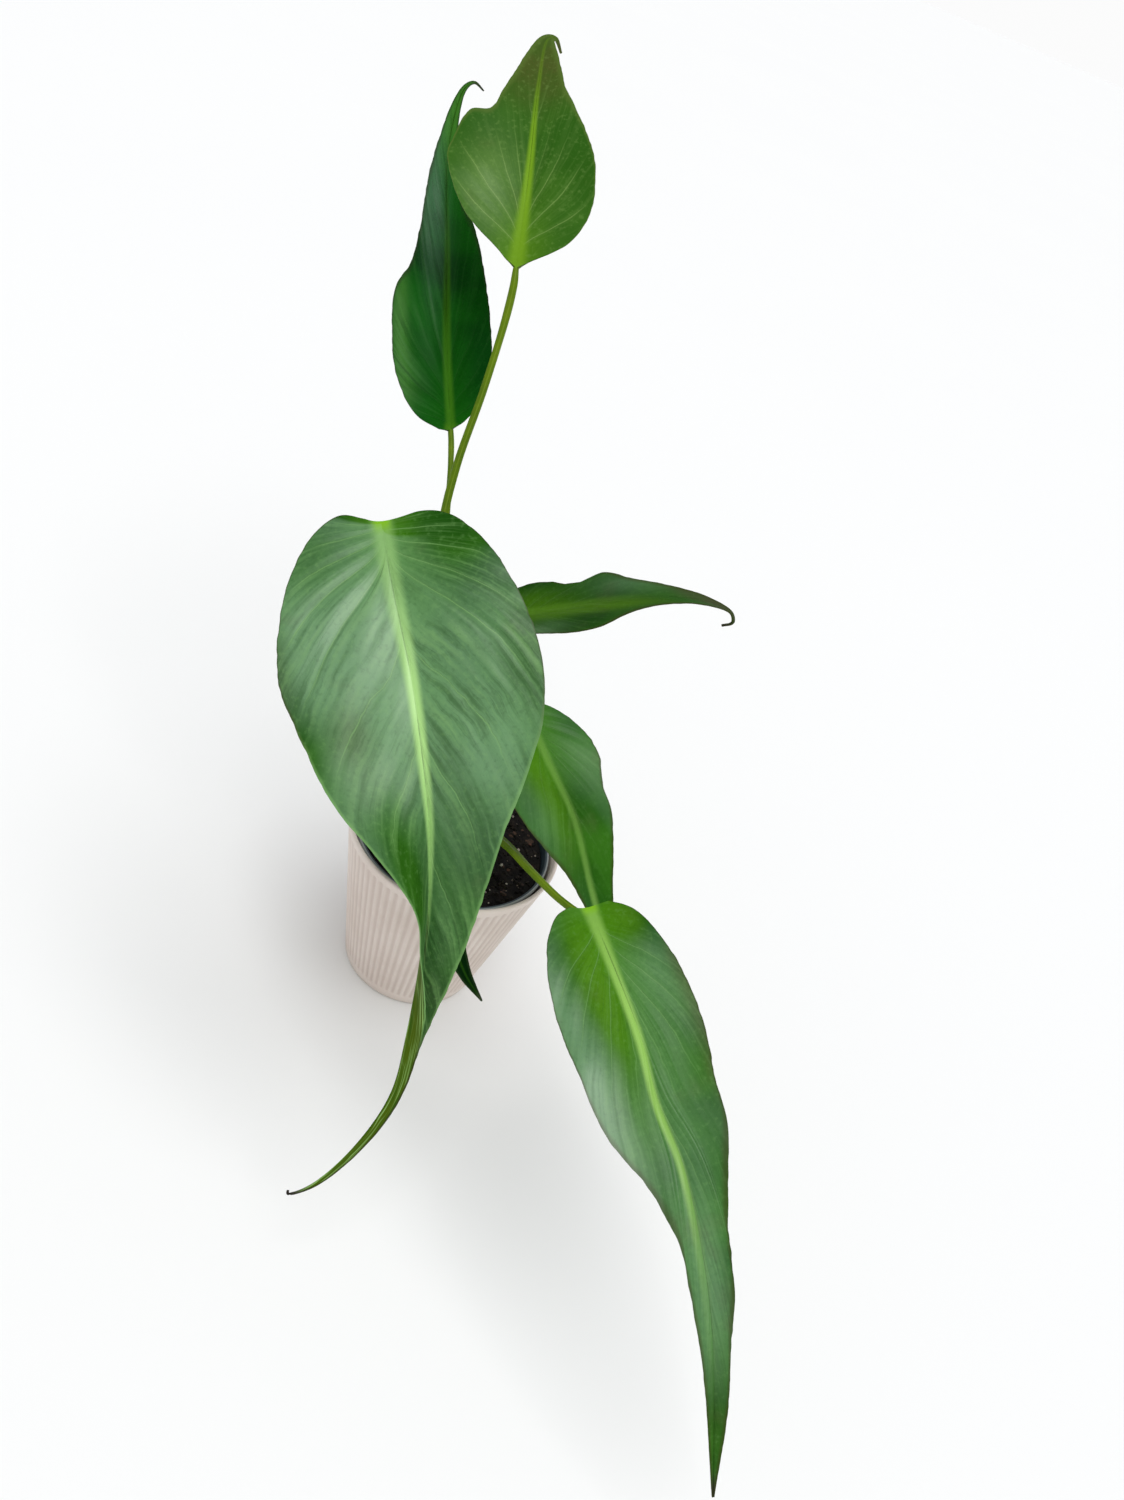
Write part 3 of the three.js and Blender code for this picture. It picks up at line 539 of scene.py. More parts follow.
def blade_mesh(name, leaf, seed):
    """A veined blade as one closed mesh: an upper skin, a lower skin and a thin wall between them."""
    across, along, count, outward, halves = blade_grid(leaf, seed)
    rows, columns = across.shape
    share = np.clip(along / leaf["line"].length, 0, 1)
    rib_half = np.interp(share, *np.array(leaf["rib"]).T)
    rib_far = np.abs(across - leaf["rib_lean"] * np.sin(np.pi * share)) / rib_half
    ridge = RIDGE_HEIGHT * np.exp(-1.6 * rib_far**2) * (1 - share) ** 0.5
    spacing = vein_spacing(across, along)
    skin = relief(leaf, across, along, count, outward, spacing, seed)
    middle, up, slope = blade_place(leaf, across, along, skin)
    thick = EDGE_HALF_THICKNESS + (CORE_HALF_THICKNESS - EDGE_HALF_THICKNESS) * (1 - outward[None, :] ** 2)
    thick = thick / np.cos(slope)
    keel = KEEL_DEPTH * (1 - 0.85 * share) * ramp(1 - np.abs(across) / KEEL_HALF_WIDTH)
    on_vein = (0.5 + 0.5 * np.cos(2 * np.pi * count)[:, None]) ** 8 * np.sin(np.pi * outward)[None, :]
    top = middle + up * (thick + ridge)[..., None]
    bottom = middle - up * (thick + keel + VEIN_RISE * on_vein)[..., None]
    points = np.concatenate([top.reshape(-1, 3), bottom.reshape(-1, 3)])
    index = np.arange(rows * columns).reshape(rows, columns)
    a, b, c, d = index[:-1, :-1], index[1:, :-1], index[1:, 1:], index[:-1, 1:]
    upper = np.stack([a, b, c, d], -1).reshape(-1, 4)
    lower = np.stack([a, d, c, b], -1).reshape(-1, 4) + rows * columns
    ring = np.concatenate([index[0, :-1], index[:-1, -1], index[-1, :0:-1], index[:0:-1, 0]])
    after = np.roll(ring, -1)
    wall = np.stack([ring, after, after + rows * columns, ring + rows * columns], -1)
    slots = [0] * len(upper) + [1] * len(lower) + [2] * len(wall)
    rim = np.where(across > 0, halves[1][:, :1], halves[-1][:, :1]) - np.abs(across)
    brightness = np.interp(share, *np.array(leaf["pale"]).T)
    twice = lambda x, y: np.tile(np.stack([x.ravel(), y.ravel()], -1), (2, 1))
    folds = np.where(across < 0, leaf["folds"][0], leaf["folds"][1])
    lively = folds * np.clip(spacing / STREAK_GAP, 0, 1) ** 1.5
    layers = {
        "flat": twice(across, lively),
        "veins": twice(np.broadcast_to(count[:, None], across.shape), spacing),
        "rim": twice(rim, share),
        "rib": twice(rib_far, brightness),
        "bloom_and_sheen": twice(*bloom_and_sheen(leaf, across, along, count)),
    }
    mesh = build_mesh(name, points, np.concatenate([upper, lower, wall]), slots, layers)
    print(name, len(mesh.polygons), "faces,", rows - 1, "rows,", columns - 1, "columns")
    return mesh

# %% [markdown]
# Finishes are node trees, and a node tree drawn by hand is hard to read as text.
# One small class stands for an output socket, so that plain arithmetic on it adds the Math nodes, and
# one method adds any other node from its type, its settings and the values or links of its sockets.
# The same method serves the finishes here and the sky at the end.
# Colours never go through arithmetic: they are mixed, so they keep their three channels.

# %% Shader maths as Python
class Value:
    """One output of a shader node; arithmetic on it adds Math nodes."""

    def __init__(self, drawing, socket):
        self.drawing = drawing
        self.socket = socket

    def math(self, operation, *others):
        sockets = dict(enumerate((self,) + others))
        return self.drawing.node("ShaderNodeMath", {"operation": operation}, sockets)

    def __add__(self, other):
        return self.math("ADD", other)

    def __sub__(self, other):
        return self.math("SUBTRACT", other)

    def __rsub__(self, other):
        return self * -1 + other

    def __mul__(self, other):
        return self.math("MULTIPLY", other)

    def __abs__(self):
        return self.math("ABSOLUTE")

    __radd__ = __add__
    __rmul__ = __mul__

    def fraction(self):
        return self.math("FRACT")

    def least(self, other):
        return self.math("MINIMUM", other)

    def most(self, other):
        return self.math("MAXIMUM", other)

    def fade(self, start, end):
        """0 before start and 1 after end, smoothly; start may be the larger one."""
        sockets = {"Value": self, "From Min": start, "From Max": end}
        return self.drawing.node("ShaderNodeMapRange", {"interpolation_type": "SMOOTHSTEP"}, sockets)


class Drawing:
    """A node tree, with the one method that adds a node to it."""

    def __init__(self, tree):
        self.tree = tree

    def node(self, kind, settings, sockets, output=0):
        made = self.tree.nodes.new(kind)
        for name, value in settings.items():
            setattr(made, name, value)
        for key, value in sockets.items():
            if isinstance(value, Value):
                self.tree.links.new(value.socket, made.inputs[key])
            else:
                made.inputs[key].default_value = value
        return Value(self, made.outputs[output])

    def mix(self, mask, below, above):
        return self.node("ShaderNodeMix", {"data_type": "RGBA"}, {0: mask, 6: below, 7: above}, output=2)

# %% A finish and its paints
class Finish(Drawing):
    """A material: what is the same all over goes on its shader, and the rest is drawn with nodes."""

    def __init__(self, name, **constants):
        self.material = bpy.data.materials.new(name)
        self.material.use_nodes = True
        super().__init__(self.material.node_tree)
        self.shader = self.tree.nodes["Principled BSDF"]
        for socket, value in constants.items():
            self.shader.inputs[socket.replace("_", " ")].default_value = value

    def flat(self, layer):
        """The two coordinates of a named layer, as values."""
        vector = self.node("ShaderNodeUVMap", {"uv_map": layer}, {})
        return [self.node("ShaderNodeSeparateXYZ", {}, {0: vector}, output=k) for k in (0, 1)]

    def point(self, x, y):
        return self.node("ShaderNodeCombineXYZ", {}, {0: x, 1: y})

    def place(self):
        return self.node("ShaderNodeTexCoord", {}, {}, output="Object")

    def clouds(self, where, scale, detail):
        """Cloudy noise from 0 to 1 at any coordinates."""
        return self.node("ShaderNodeTexNoise", {}, {"Vector": where, "Scale": scale, "Detail": detail})

    def grain(self, size, where=None, detail=3.0, stretch=None):
        """Cloudy noise on the object, with spots of a size in millimetres."""
        where = where or self.place()
        if stretch:
            where = self.node("ShaderNodeMapping", {}, {"Vector": where, "Scale": stretch})
        return self.clouds(where, 1000 / size, detail)

    def coats(self, colour, *coats):
        """A ground colour with coats of paint over it, each one where its mask lets it show."""
        for mask, coat in coats:
            colour = self.mix(mask, colour, coat)
        return colour

    def feed(self, **links):
        for socket, value in links.items():
            self.tree.links.new(value.socket, self.shader.inputs[socket.replace("_", " ")])

    def done(self, colour, roughness, relief, **more):
        """The finished material; its relief is in millimetres and drives a Bump node."""
        bump = self.node("ShaderNodeBump", {}, {"Distance": MM, "Height": relief})
        self.feed(Base_Color=colour, Roughness=roughness, Normal=bump, **more)
        return self.material


def paint(red, green, blue):
    """A screen colour from 0 to 255 as the linear colour a shader wants."""
    linear = []
    for v in (red / 255, green / 255, blue / 255):
        linear.append(v / 12.92 if v <= 0.04 else ((v + 0.055) / 1.055) ** 2.4)
    return (*linear, 1.0)

# %% [markdown]
# The upper face of a leaf is a deep green skin under a thin waxy gloss.
# On it lie a pale midrib that fades at its edges, fine pale side veins with a soft halo, a faint net
# between them, and a hair-thin margin. Close to the stalk the green turns yellower.
# Painting these on an image would tie them to one resolution, so they are drawn from the flat
# coordinates: the distance to a vein is how far the row number is from a whole number.
# A finish is then a ground colour and a list of coats over it, from the lowest to the uppermost, and
# each coat has a mask that says where it shows.

# %% Leaf colours
# bloom_and_sheen is painted sheen: the pale grey-green that the skin is painted towards where the wax lies.
LOOKS = {
    "mature": dict(
        deep=paint(28, 78, 12), mid=paint(50, 104, 22), young=paint(66, 126, 6), vein=paint(116, 164, 92),
        rib=paint(170, 218, 128), blush=paint(84, 88, 58), margin=paint(54, 64, 22), under=paint(68, 88, 0),
        heart=paint(126, 184, 6), bloom_and_sheen=paint(110, 158, 108), fresh=paint(84, 134, 18),
        tip=paint(48, 44, 38), roughness=0.45, slot="leaf_mature",
    ),
    "young": dict(
        deep=paint(46, 94, 20), mid=paint(62, 108, 30), young=paint(78, 126, 22), vein=paint(138, 172, 92),
        rib=paint(116, 158, 30), blush=paint(76, 88, 34), margin=paint(84, 108, 44),
        under=paint(104, 134, 50), heart=paint(104, 150, 26), bloom_and_sheen=paint(122, 158, 88),
        fresh=paint(96, 142, 20), tip=paint(84, 76, 56), roughness=0.55, slot="leaf_young",
    ),
    # The shaded look's darker greens are painted shade, for leaves that stand in shade.
    "shaded": dict(
        deep=paint(4, 60, 8), mid=paint(16, 88, 12), young=paint(16, 86, 6), vein=paint(56, 110, 50),
        rib=paint(56, 110, 18), blush=paint(14, 58, 16), margin=paint(40, 58, 30), under=paint(54, 92, 34),
        heart=paint(70, 120, 20), bloom_and_sheen=paint(80, 136, 100), fresh=paint(56, 112, 28),
        tip=paint(60, 66, 46), roughness=0.48, slot="leaf_dark",
    ),
}
print("leaf finishes:", ", ".join(LOOKS))

# %% Where the veins and folds lie
def leaf_drawing(finish, leaf, drift):
    """Masks of the midrib, the side veins, their halo and the fine net, from the flat coordinates."""
    across, lively = finish.flat("flat")
    count, spacing = finish.flat("veins")
    rim, share = finish.flat("rim")
    rib_far, rib_pale = finish.flat("rib")
    waver = finish.grain(15, detail=2.0)
    swell = finish.grain(34, detail=1.0)
    lively = lively * (0.35 + swell.fade(0.32, 0.58) * 0.9)
    drifting = count + (drift - 0.5) * 0.25 + (waver - 0.5) * 0.16
    gap = abs((drifting + 0.5).fraction() - 0.5) * spacing
    ends = rim.fade(0.5, 14) * spacing.fade(2, 6) * rib_far.fade(0.3, 1.2)
    ends = ends * count.fade(leaf["first_vein"] - 0.8, leaf["first_vein"])
    net_gap = abs((drifting * 3 + 0.5).fraction() - 0.5) * spacing * 0.333
    along_veins = finish.point(across * 0.028, count * 6 + (waver - 0.5) * 0.9)
    along_midrib = finish.point(across * 0.9, share * 7)
    return dict(
        far=abs(across), share=share, rim=rim, lively=lively,
        ridge=rib_far.fade(1.6, 0.3) * rib_pale,
        vein=gap.fade(0.55, 0.1) * ends,
        halo=gap.fade(3.2, 0.2) * ends,
        twig=net_gap.fade(0.5, 0.1) * ends,
        streaks=finish.clouds(along_veins, 1.0, 4.0),
        stripes=finish.clouds(along_midrib, 1.0, 2.0),
    )


def with_painted_shade(look, depth):
    """The same finish with its green skin scaled by depth, as painted shade."""
    skin = {}
    for part in ("deep", "mid", "young", "blush", "fresh"):
        skin[part] = (*[channel * depth for channel in look[part][:3]], 1.0)
    return {**look, **skin}


def pale_hem(leaf, share):
    """Where the hair-thin margin is pale: from a share of the length to the start of the thin tip."""
    return share.fade(leaf["pale_margin"], leaf["pale_margin"] + 0.12) * share.fade(0.72, 0.6)

# %% Upper face
def upper_face(name, leaf, look):
    # The leaf's depth darkens or lightens its green skin as painted shade.
    look = {**with_painted_shade(look, leaf["depth"]), "rib": paint(*leaf["rib_paint"])}
    finish = Finish(name, Specular_IOR_Level=0.03, Coat_IOR=1.7, Coat_Roughness=0.38)
    drift = finish.grain(46, detail=2.0)
    patches = finish.grain(27, detail=3.0)
    fine = finish.grain(2.6, detail=4.0)
    wax_and_sheen, tint = finish.flat("bloom_and_sheen")
    drawn = leaf_drawing(finish, leaf, drift)
    streaks, lively, share, clear = drawn["streaks"], drawn["lively"], drawn["share"], leaf["clear"]
    youth = drawn["far"].fade(24, 3) * share.fade(0.4, 0.02) * 0.7
    brown = tint.fade(0.0, -1.0) * (0.6 + patches.fade(0.4, 0.7) * 0.4)
    # The fine folds are also painted: paler on their crests as painted highlight, darker in their creases and
    # on their shadow sides as painted shade.
    crease_dent_and_shade = abs(streaks - 0.46).fade(0.03, 0.0) * lively
    dark = (streaks.fade(0.48, 0.36) * lively * 0.36).most(crease_dent_and_shade * 0.2).least(0.8)
    veins = drawn["halo"] * 0.1 + drawn["vein"] * 0.45 + drawn["twig"] * 0.06
    heart = share.fade(0.022, 0.0) * drawn["far"].fade(6, 2)
    hem = finish.mix(pale_hem(leaf, share), look["margin"], look["vein"])
    colour = finish.coats(
        look["deep"],
        (drift.fade(0.35, 0.66), look["mid"]),
        (youth, look["young"]),
        (tint.fade(0.0, 1.0), look["fresh"]),
        # Painted sheen: where the wax lies the skin is painted paler grey-green, as its glossy highlight.
        (wax_and_sheen * (0.5 + patches * 0.3), look["bloom_and_sheen"]),
        (brown.most(patches.fade(0.56, 0.76) * 0.25), look["blush"]),
        # Painted highlight on the crests of the fine folds.
        (streaks.fade(0.5, 0.66) * lively * 0.24, look["vein"]),
        # Painted shade in the creases and on the shadow sides of the fine folds.
        (dark, look["deep"]),
        (fine.fade(0.53, 0.7) * (0.03 + clear * 0.14), look["vein"]),
        (fine.fade(0.47, 0.3) * (0.06 + clear * 0.18), look["deep"]),
        ((veins * clear).least(0.7), look["vein"]),
        (drawn["ridge"], look["rib"]),
        (heart * 0.8, look["heart"]),
        (share.fade(0.94, 0.99), look["tip"]),
        (drawn["rim"].fade(1.1, 0.2) * 0.65, hem),
    )
    worn = 0.75 + streaks.fade(0.3, 0.7) * 0.25
    height = drawn["ridge"] * 0.12 - drawn["vein"] * 0.14 - drawn["twig"] * 0.05
    grainy = finish.grain(4, detail=3.0) * (0.22 + drawn["rim"].fade(24, 4) * lively * 0.6)
    height = height + streaks * lively * 0.7 - crease_dent_and_shade * 0.06 + fine * 0.14 + grainy
    return finish.done(colour, fine * 0.14 + look["roughness"], height, Coat_Weight=wax_and_sheen * worn)

# %% [markdown]
# The underside is plainer: matt, yellower and without bloom, with the net of veins a little raised.
# In a folded tail it is the only side that shows, and there it is striped lengthwise.
# The margin between the two faces gets a finish of its own, because it is a rim of another colour.

# %% Lower face and margin
def lower_face(name, leaf, look):
    finish = Finish(name, Specular_IOR_Level=0.05)
    drift = finish.grain(46, detail=2.0)
    fine = finish.grain(2.0, detail=4.0)
    drawn = leaf_drawing(finish, leaf, drift)
    in_tail = drawn["share"].fade(0.5, 0.65)
    colour = finish.coats(
        look["under"],
        (drift.fade(0.3, 0.7) * 0.25, look["mid"]),
        (drawn["stripes"].fade(0.5, 0.64) * in_tail * 0.5, look["rib"]),
        (drawn["stripes"].fade(0.46, 0.34) * in_tail * 0.6, look["deep"]),
        ((drawn["halo"] * 0.15 + drawn["vein"] * 0.35 + drawn["twig"] * 0.15).least(0.8), look["rib"]),
        (drawn["ridge"] * (1 - in_tail) * 0.8, look["rib"]),
        (drawn["share"].fade(0.95, 0.99), look["tip"]),
    )
    height = fine * 0.08 + drawn["ridge"] * 0.2 + drawn["vein"] * 0.25 + drawn["twig"] * 0.1
    return finish.done(colour, fine * 0.15 + 0.5, height)


def leaf_hem(name, leaf, look):
    finish = Finish(name, Roughness=0.5, Specular_IOR_Level=0.05)
    share = finish.flat("rim")[1]
    pale, brown = (pale_hem(leaf, share), look["vein"]), (share.fade(0.95, 0.99), look["tip"])
    finish.feed(Base_Color=finish.coats(look["margin"], pale, brown))
    return finish.material

# %% Build the seven blades
def add_piece(mesh, materials, node):
    """Puts a mesh in the scene, riding on the one body, and in a node's stead."""
    for material in materials:
        mesh.materials.append(material)
    piece = bpy.data.objects.new(mesh.name, mesh)
    scene.collection.objects.link(piece)
    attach(piece, "root")
    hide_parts(node)


for seed, (name, leaf) in enumerate(LEAVES.items()):
    look = LOOKS[leaf["look"]]
    finishes = [
        upper_face(name + "_upper_skin", leaf, look),
        lower_face(name + "_lower_skin", leaf, look),
        leaf_hem(name + "_margin", leaf, look),
    ]
    add_piece(blade_mesh(name + "_veined", leaf, seed), finishes, name + "_blade")

# %% [markdown]
# The stem is short and thick, ringed where old leaves stood, and each stalk clasps it with a sheath:
# two thin wings with a channel between them, which close up halfway to the blade.
# A plain pipe along a curve would miss all of this, so the tube is built ring by ring, and a
# function gives the radius for each turn round it and each share along it.
# At its top the stalk runs on under the blade and sinks into the midrib.

# %% Tubes with a shaped section
STEM_AXIS = [[0, 0, 103.3], [0, 0, 124], [-6, 1, 150], [-18, 4, 185], [-33, 8, 220]]
STEM_RADIUS = 8
STEM_TOP_RADIUS = 5.5
STEM_NODES = 7


def tube(points, radius_at, rings, sides, keep_up=True):
    """Points, faces and coordinates of a closed tube; turn 0 is its upper side."""
    line = Line(points)
    share = np.linspace(0, 1, rings + 1)
    centre, forward = line.place(share), line.heading(share)
    up = np.array([0.0, 0.0, 1.0]) if keep_up else np.array([1.0, 0.0, 0.0])
    ups = []
    for heading in forward:
        up = up - heading * up.dot(heading)
        up /= np.linalg.norm(up)
        ups.append(up)
    ups = np.array(ups)
    side = np.cross(forward, ups)
    turn = np.linspace(0, 2 * np.pi, sides, endpoint=False)
    radius = radius_at(share[:, None], turn[None, :])
    spots = centre[:, None] + radius[..., None] * (
        ups[:, None] * np.cos(turn)[None, :, None] + side[:, None] * np.sin(turn)[None, :, None]
    )
    index = np.arange((rings + 1) * sides).reshape(rings + 1, sides)
    after = np.roll(index, -1, axis=1)
    faces = np.stack([index[:-1], index[1:], after[1:], after[:-1]], -1).reshape(-1, 4).tolist()
    faces = [face[::-1] for face in faces]
    faces.append(index[0].tolist())
    faces.append(index[-1][::-1].tolist())
    round_share = np.broadcast_to(turn / (2 * np.pi), radius.shape)
    along = np.broadcast_to(share[:, None] * line.length, radius.shape)
    return spots.reshape(-1, 3), faces, np.stack([round_share.ravel(), along.ravel()], -1)

# %% Stem and stalks
def stalk_points(leaf, stem):
    """The way of a stalk: from its node, along its path, to the foot of the blade and under it."""
    _, place, forward, up, _ = midrib_frame(leaf, np.array([0.0, 7.0, 20.0]))
    if leaf["joins"] == "beneath":
        end = place[0] + 3 * forward[0] - 2.9 * up[0]
        bend = end - forward[0] - 6 * up[0]
    else:
        end = place[0] - 0.65 * forward[0] - 0.65 * up[0]
        bend = end - 6 * forward[0] - up[0]
    sink = [place[1] - 1.6 * up[1], place[2] - 1.1 * up[2]]
    return [stem.place(leaf["node"])] + leaf["path"] + [bend, end] + sink


def stalk_radius(leaf):
    """A stalk is swollen at its foot and its knee, and its sheath is a channel between two wings."""
    def radius(share, turn):
        base = leaf["radius"] * (1 + 1.1 * (1 - share) ** 5 - 0.18 * ramp(share))
        knee = 0.12 * np.exp(-(((share - 0.86) / 0.05) ** 2))
        sunk = 1 - 0.72 * ramp((share - 0.9) / 0.1)
        sheath = 1 - ramp((share - 0.3) / 0.35)
        turned = np.abs((turn + np.pi) % (2 * np.pi) - np.pi)
        channel = -0.26 * np.exp(-((turned / 0.42) ** 2)) + 0.14 * np.exp(-(((turned - 0.62) / 0.16) ** 2))
        return base * sunk * (1 + knee + sheath * channel)
    return radius


def stem_radius(share, turn):
    taper = STEM_RADIUS + (STEM_TOP_RADIUS - STEM_RADIUS) * share
    ring = np.cos(np.pi * STEM_NODES * share) ** 8
    rough = 0.02 * np.sin(3 * turn + 9 * share) + 0.012 * np.sin(7 * turn - 31 * share)
    return taper * (1 + 0.12 * ring * np.sin(np.pi * share) + rough * np.sin(np.pi * share))


stem = Line(STEM_AXIS)
parts = [tube(STEM_AXIS, stem_radius, rings=110, sides=48, keep_up=False)]
for leaf in LEAVES.values():
    parts.append(tube(stalk_points(leaf, stem), stalk_radius(leaf), rings=130, sides=32))
faces, kind, start = [], [], 0
for number, (spots, some, _) in enumerate(parts):
    faces += [[k + start for k in face] for face in some]
    kind += [min(number, 1)] * len(some)
    start += len(spots)
points = np.concatenate([part[0] for part in parts])
layer = np.concatenate([part[2] for part in parts])
print("stem and", len(parts) - 1, "stalks:", start, "points")

# %% [markdown]
# The stem's skin is brownish green and corky at its rings.
# The stalks are olive, streaked lengthwise, and paler along the wings of their sheaths.
# Noise stretched along the stalk gives the streaks, so they need no drawing of their own.

# %% Stem and stalk finishes
def stem_bark():
    finish = Finish("stem_bark", Specular_IOR_Level=0.4)
    spots = finish.grain(3.0, detail=5.0)
    broad = finish.grain(16)
    colour = finish.coats(
        paint(84, 96, 26),
        (broad.fade(0.35, 0.65), paint(112, 104, 58)),
        (spots.fade(0.55, 0.75) * 0.7, paint(122, 110, 82)),
    )
    return finish.done(colour, 0.5 + spots * 0.25, spots * 0.5 + broad * 0.6)


def stalk_skin():
    finish = Finish("stalk_skin", Specular_IOR_Level=0.15)
    turn, along = finish.flat("stalk")
    streaks = finish.grain(2.0, where=finish.point(turn * 0.03, along * 0.0004))
    broad = finish.grain(22)
    wing = abs(abs((turn + 0.5).fraction() - 0.5) - 0.1).fade(0.035, 0.005)
    colour = finish.coats(
        paint(74, 104, 0),
        (broad.fade(0.3, 0.7), paint(98, 124, 2)),
        (streaks.fade(0.5, 0.72) * 0.3, paint(112, 136, 24)),
        (wing * 0.35, paint(130, 152, 50)),
    )
    return finish.done(colour, 0.48 + streaks * 0.15, streaks * 0.18)


stems = build_mesh("stem_with_sheathed_stalks", points, faces, kind, {"stalk": layer})
add_piece(stems, [stem_bark(), stalk_skin()], "stem_and_stalks")
print("stem and stalks:", len(stems.polygons), "faces")

# %% [markdown]
# The outer pot is pale ceramic with 72 upright flutes that run out before the rim and the foot.
# It could be lathed and then cut with 72 grooves, but a turned profile whose radius dips with the
# angle makes the same flutes in one step, with round crests.
# Both pots and the soil are turned forms, so one function turns a profile for all of them.

# %% Turned forms
POT_HEIGHT, POT_RIM_RADIUS, POT_FOOT_RADIUS, POT_WALL, POT_FLOOR = 130, 72, 48, 2.8, 5
RIB_COUNT, RIB_DEPTH, RIB_START_HEIGHT, RIB_END_HEIGHT, RIB_RUN_IN = 72, 1, 7, 124, 3
NURSERY_RIM_RADIUS, NURSERY_FOOT_RADIUS, NURSERY_TOP, NURSERY_WALL = 66.2, 44, 125, 1.4
NURSERY_BOTTOM, NURSERY_ROLL = 5.3, 1.1
SOIL_TOP = 119


def turned(name, profile, segments, dent=None):
    """A closed form from a profile of radius and height that starts and ends on the axis.

    dent gives how far each spot is pressed in, and the depth is kept as a coordinate for the finish.
    """
    profile = np.array(profile, float)
    angle = np.linspace(0, 2 * np.pi, segments, endpoint=False)
    radius = np.repeat(profile[1:-1, :1], segments, axis=1)
    height = np.repeat(profile[1:-1, 1:], segments, axis=1)
    depth = np.zeros_like(radius) if dent is None else dent(radius, height, angle[None, :])
    radius = radius - depth
    spots = np.stack([radius * np.cos(angle), radius * np.sin(angle), height], -1).reshape(-1, 3)
    index = np.arange(len(spots)).reshape(-1, segments)
    after = np.roll(index, -1, axis=1)
    faces = np.stack([index[:-1], after[:-1], after[1:], index[1:]], -1).reshape(-1, 4).tolist()
    faces += [[len(spots), b, a] for a, b in zip(index[0], after[0])]
    faces += [[len(spots) + 1, a, b] for a, b in zip(index[-1], after[-1])]
    ends = [[0, 0, profile[0, 1]], [0, 0, profile[-1, 1]]]
    pressed = np.stack([np.append(depth.ravel(), [0, 0]), np.append(height.ravel(), profile[[0, -1], 1])], -1)
    return build_mesh(name, np.vstack([spots, ends]), faces, [0] * len(faces), {"pressed": pressed})

# %% Outer pot
WALL_HEIGHTS = (2, 4, 7, 7.6, 8.3, 9, 10, 30, 55, 80, 105, 121, 122, 122.8, 123.5, 124, 126)


def outer_radius(height):
    return POT_FOOT_RADIUS + (POT_RIM_RADIUS - POT_FOOT_RADIUS) * height / POT_HEIGHT


def flutes(radius, height, angle):
    """How far the outside is pressed in between the ribs, which run out near the foot and the rim."""
    outside = (radius > outer_radius(height) - 1.2) & (height > RIB_START_HEIGHT) & (height < RIB_END_HEIGHT)
    run_in = ramp((height - RIB_START_HEIGHT) / RIB_RUN_IN) * ramp((RIB_END_HEIGHT - height) / RIB_RUN_IN)
    return RIB_DEPTH * outside * run_in * (0.5 - 0.5 * np.cos(RIB_COUNT * angle)) ** 0.8


wall = [[outer_radius(h), h] for h in WALL_HEIGHTS]
outer_profile = [[0, 0], [40, 0], [45.6, 0], [46.6, 0.25], [47.4, 0.8]] + wall + [
    [71.85, 128.6], [71.6, 129.4], [71.1, 129.85], [70.6, 130], [70.1, 129.85], [69.6, 129.5], [69.25, 128.9],
    [outer_radius(100) - POT_WALL, 100], [outer_radius(40) - POT_WALL, 40], [outer_radius(7) - POT_WALL, 7.5],
    [44.5, 5.4], [42, POT_FLOOR], [0, POT_FLOOR],
]
outer_mesh = turned("fluted_outer_pot", outer_profile, RIB_COUNT * 12, flutes)
print("outer pot:", len(outer_mesh.polygons), "faces, rim", 2 * POT_RIM_RADIUS, "mm across")

# %% Nursery pot
def nursery_radius(height):
    rise = (height - NURSERY_BOTTOM) / (NURSERY_TOP - NURSERY_BOTTOM)
    return NURSERY_FOOT_RADIUS + (NURSERY_RIM_RADIUS - NURSERY_ROLL - NURSERY_FOOT_RADIUS) * rise


def inside(height):
    return nursery_radius(height) - NURSERY_WALL


nursery_profile = [
    [0, NURSERY_BOTTOM], [38, NURSERY_BOTTOM], [41, NURSERY_BOTTOM + 0.5], [42, NURSERY_BOTTOM + 2],
    [nursery_radius(60), 60], [nursery_radius(120.6), 120.6], [nursery_radius(121) + 0.2, 121.2],
    [NURSERY_RIM_RADIUS - 0.2, 121.9], [NURSERY_RIM_RADIUS, 122.4], [NURSERY_RIM_RADIUS, 124.2],
    [NURSERY_RIM_RADIUS - 0.25, 124.75], [NURSERY_RIM_RADIUS - 0.8, NURSERY_TOP],
    [inside(NURSERY_TOP) + 0.6, NURSERY_TOP], [inside(NURSERY_TOP) + 0.1, 124.7], [inside(124), 124],
    [inside(118), 118], [inside(60), 60], [inside(9), 9], [40, 7], [0, 6.7],
]
nursery_mesh = turned("rolled_nursery_pot", nursery_profile, 160)
print("nursery pot:", len(nursery_mesh.polygons), "faces")

# %% [markdown]
# Glazed clay is never one flat white: the body shows faintly through, the hollows between the flutes
# are painted darker as painted shade, and a foot that is set down and picked up gets grubby.
# The nursery pot is thin recycled plastic, and its lip is painted light grey as a painted highlight.

# %% Pot finishes
def pot_glaze():
    finish = Finish("pot_glaze", Specular_IOR_Level=0.45, Coat_Weight=0.08, Coat_Roughness=0.35)
    mottle = finish.grain(38)
    pits = finish.grain(1.6, detail=4.0)
    groove_shade, height = finish.flat("pressed")
    colour = finish.coats(
        paint(218, 204, 194),
        (mottle.fade(0.3, 0.7), paint(228, 216, 207)),
        # Painted shade: the hollows between the flutes are painted darker.
        (groove_shade.fade(0.25, 1.0) * 0.5, paint(190, 172, 162)),
        (pits.fade(0.62, 0.78) * 0.25, paint(205, 192, 176)),
        (height.fade(9, 1) * mottle * 0.5, paint(190, 178, 162)),
    )
    return finish.done(colour, 0.42 + pits * 0.18, pits * 0.08 + mottle * 0.15)


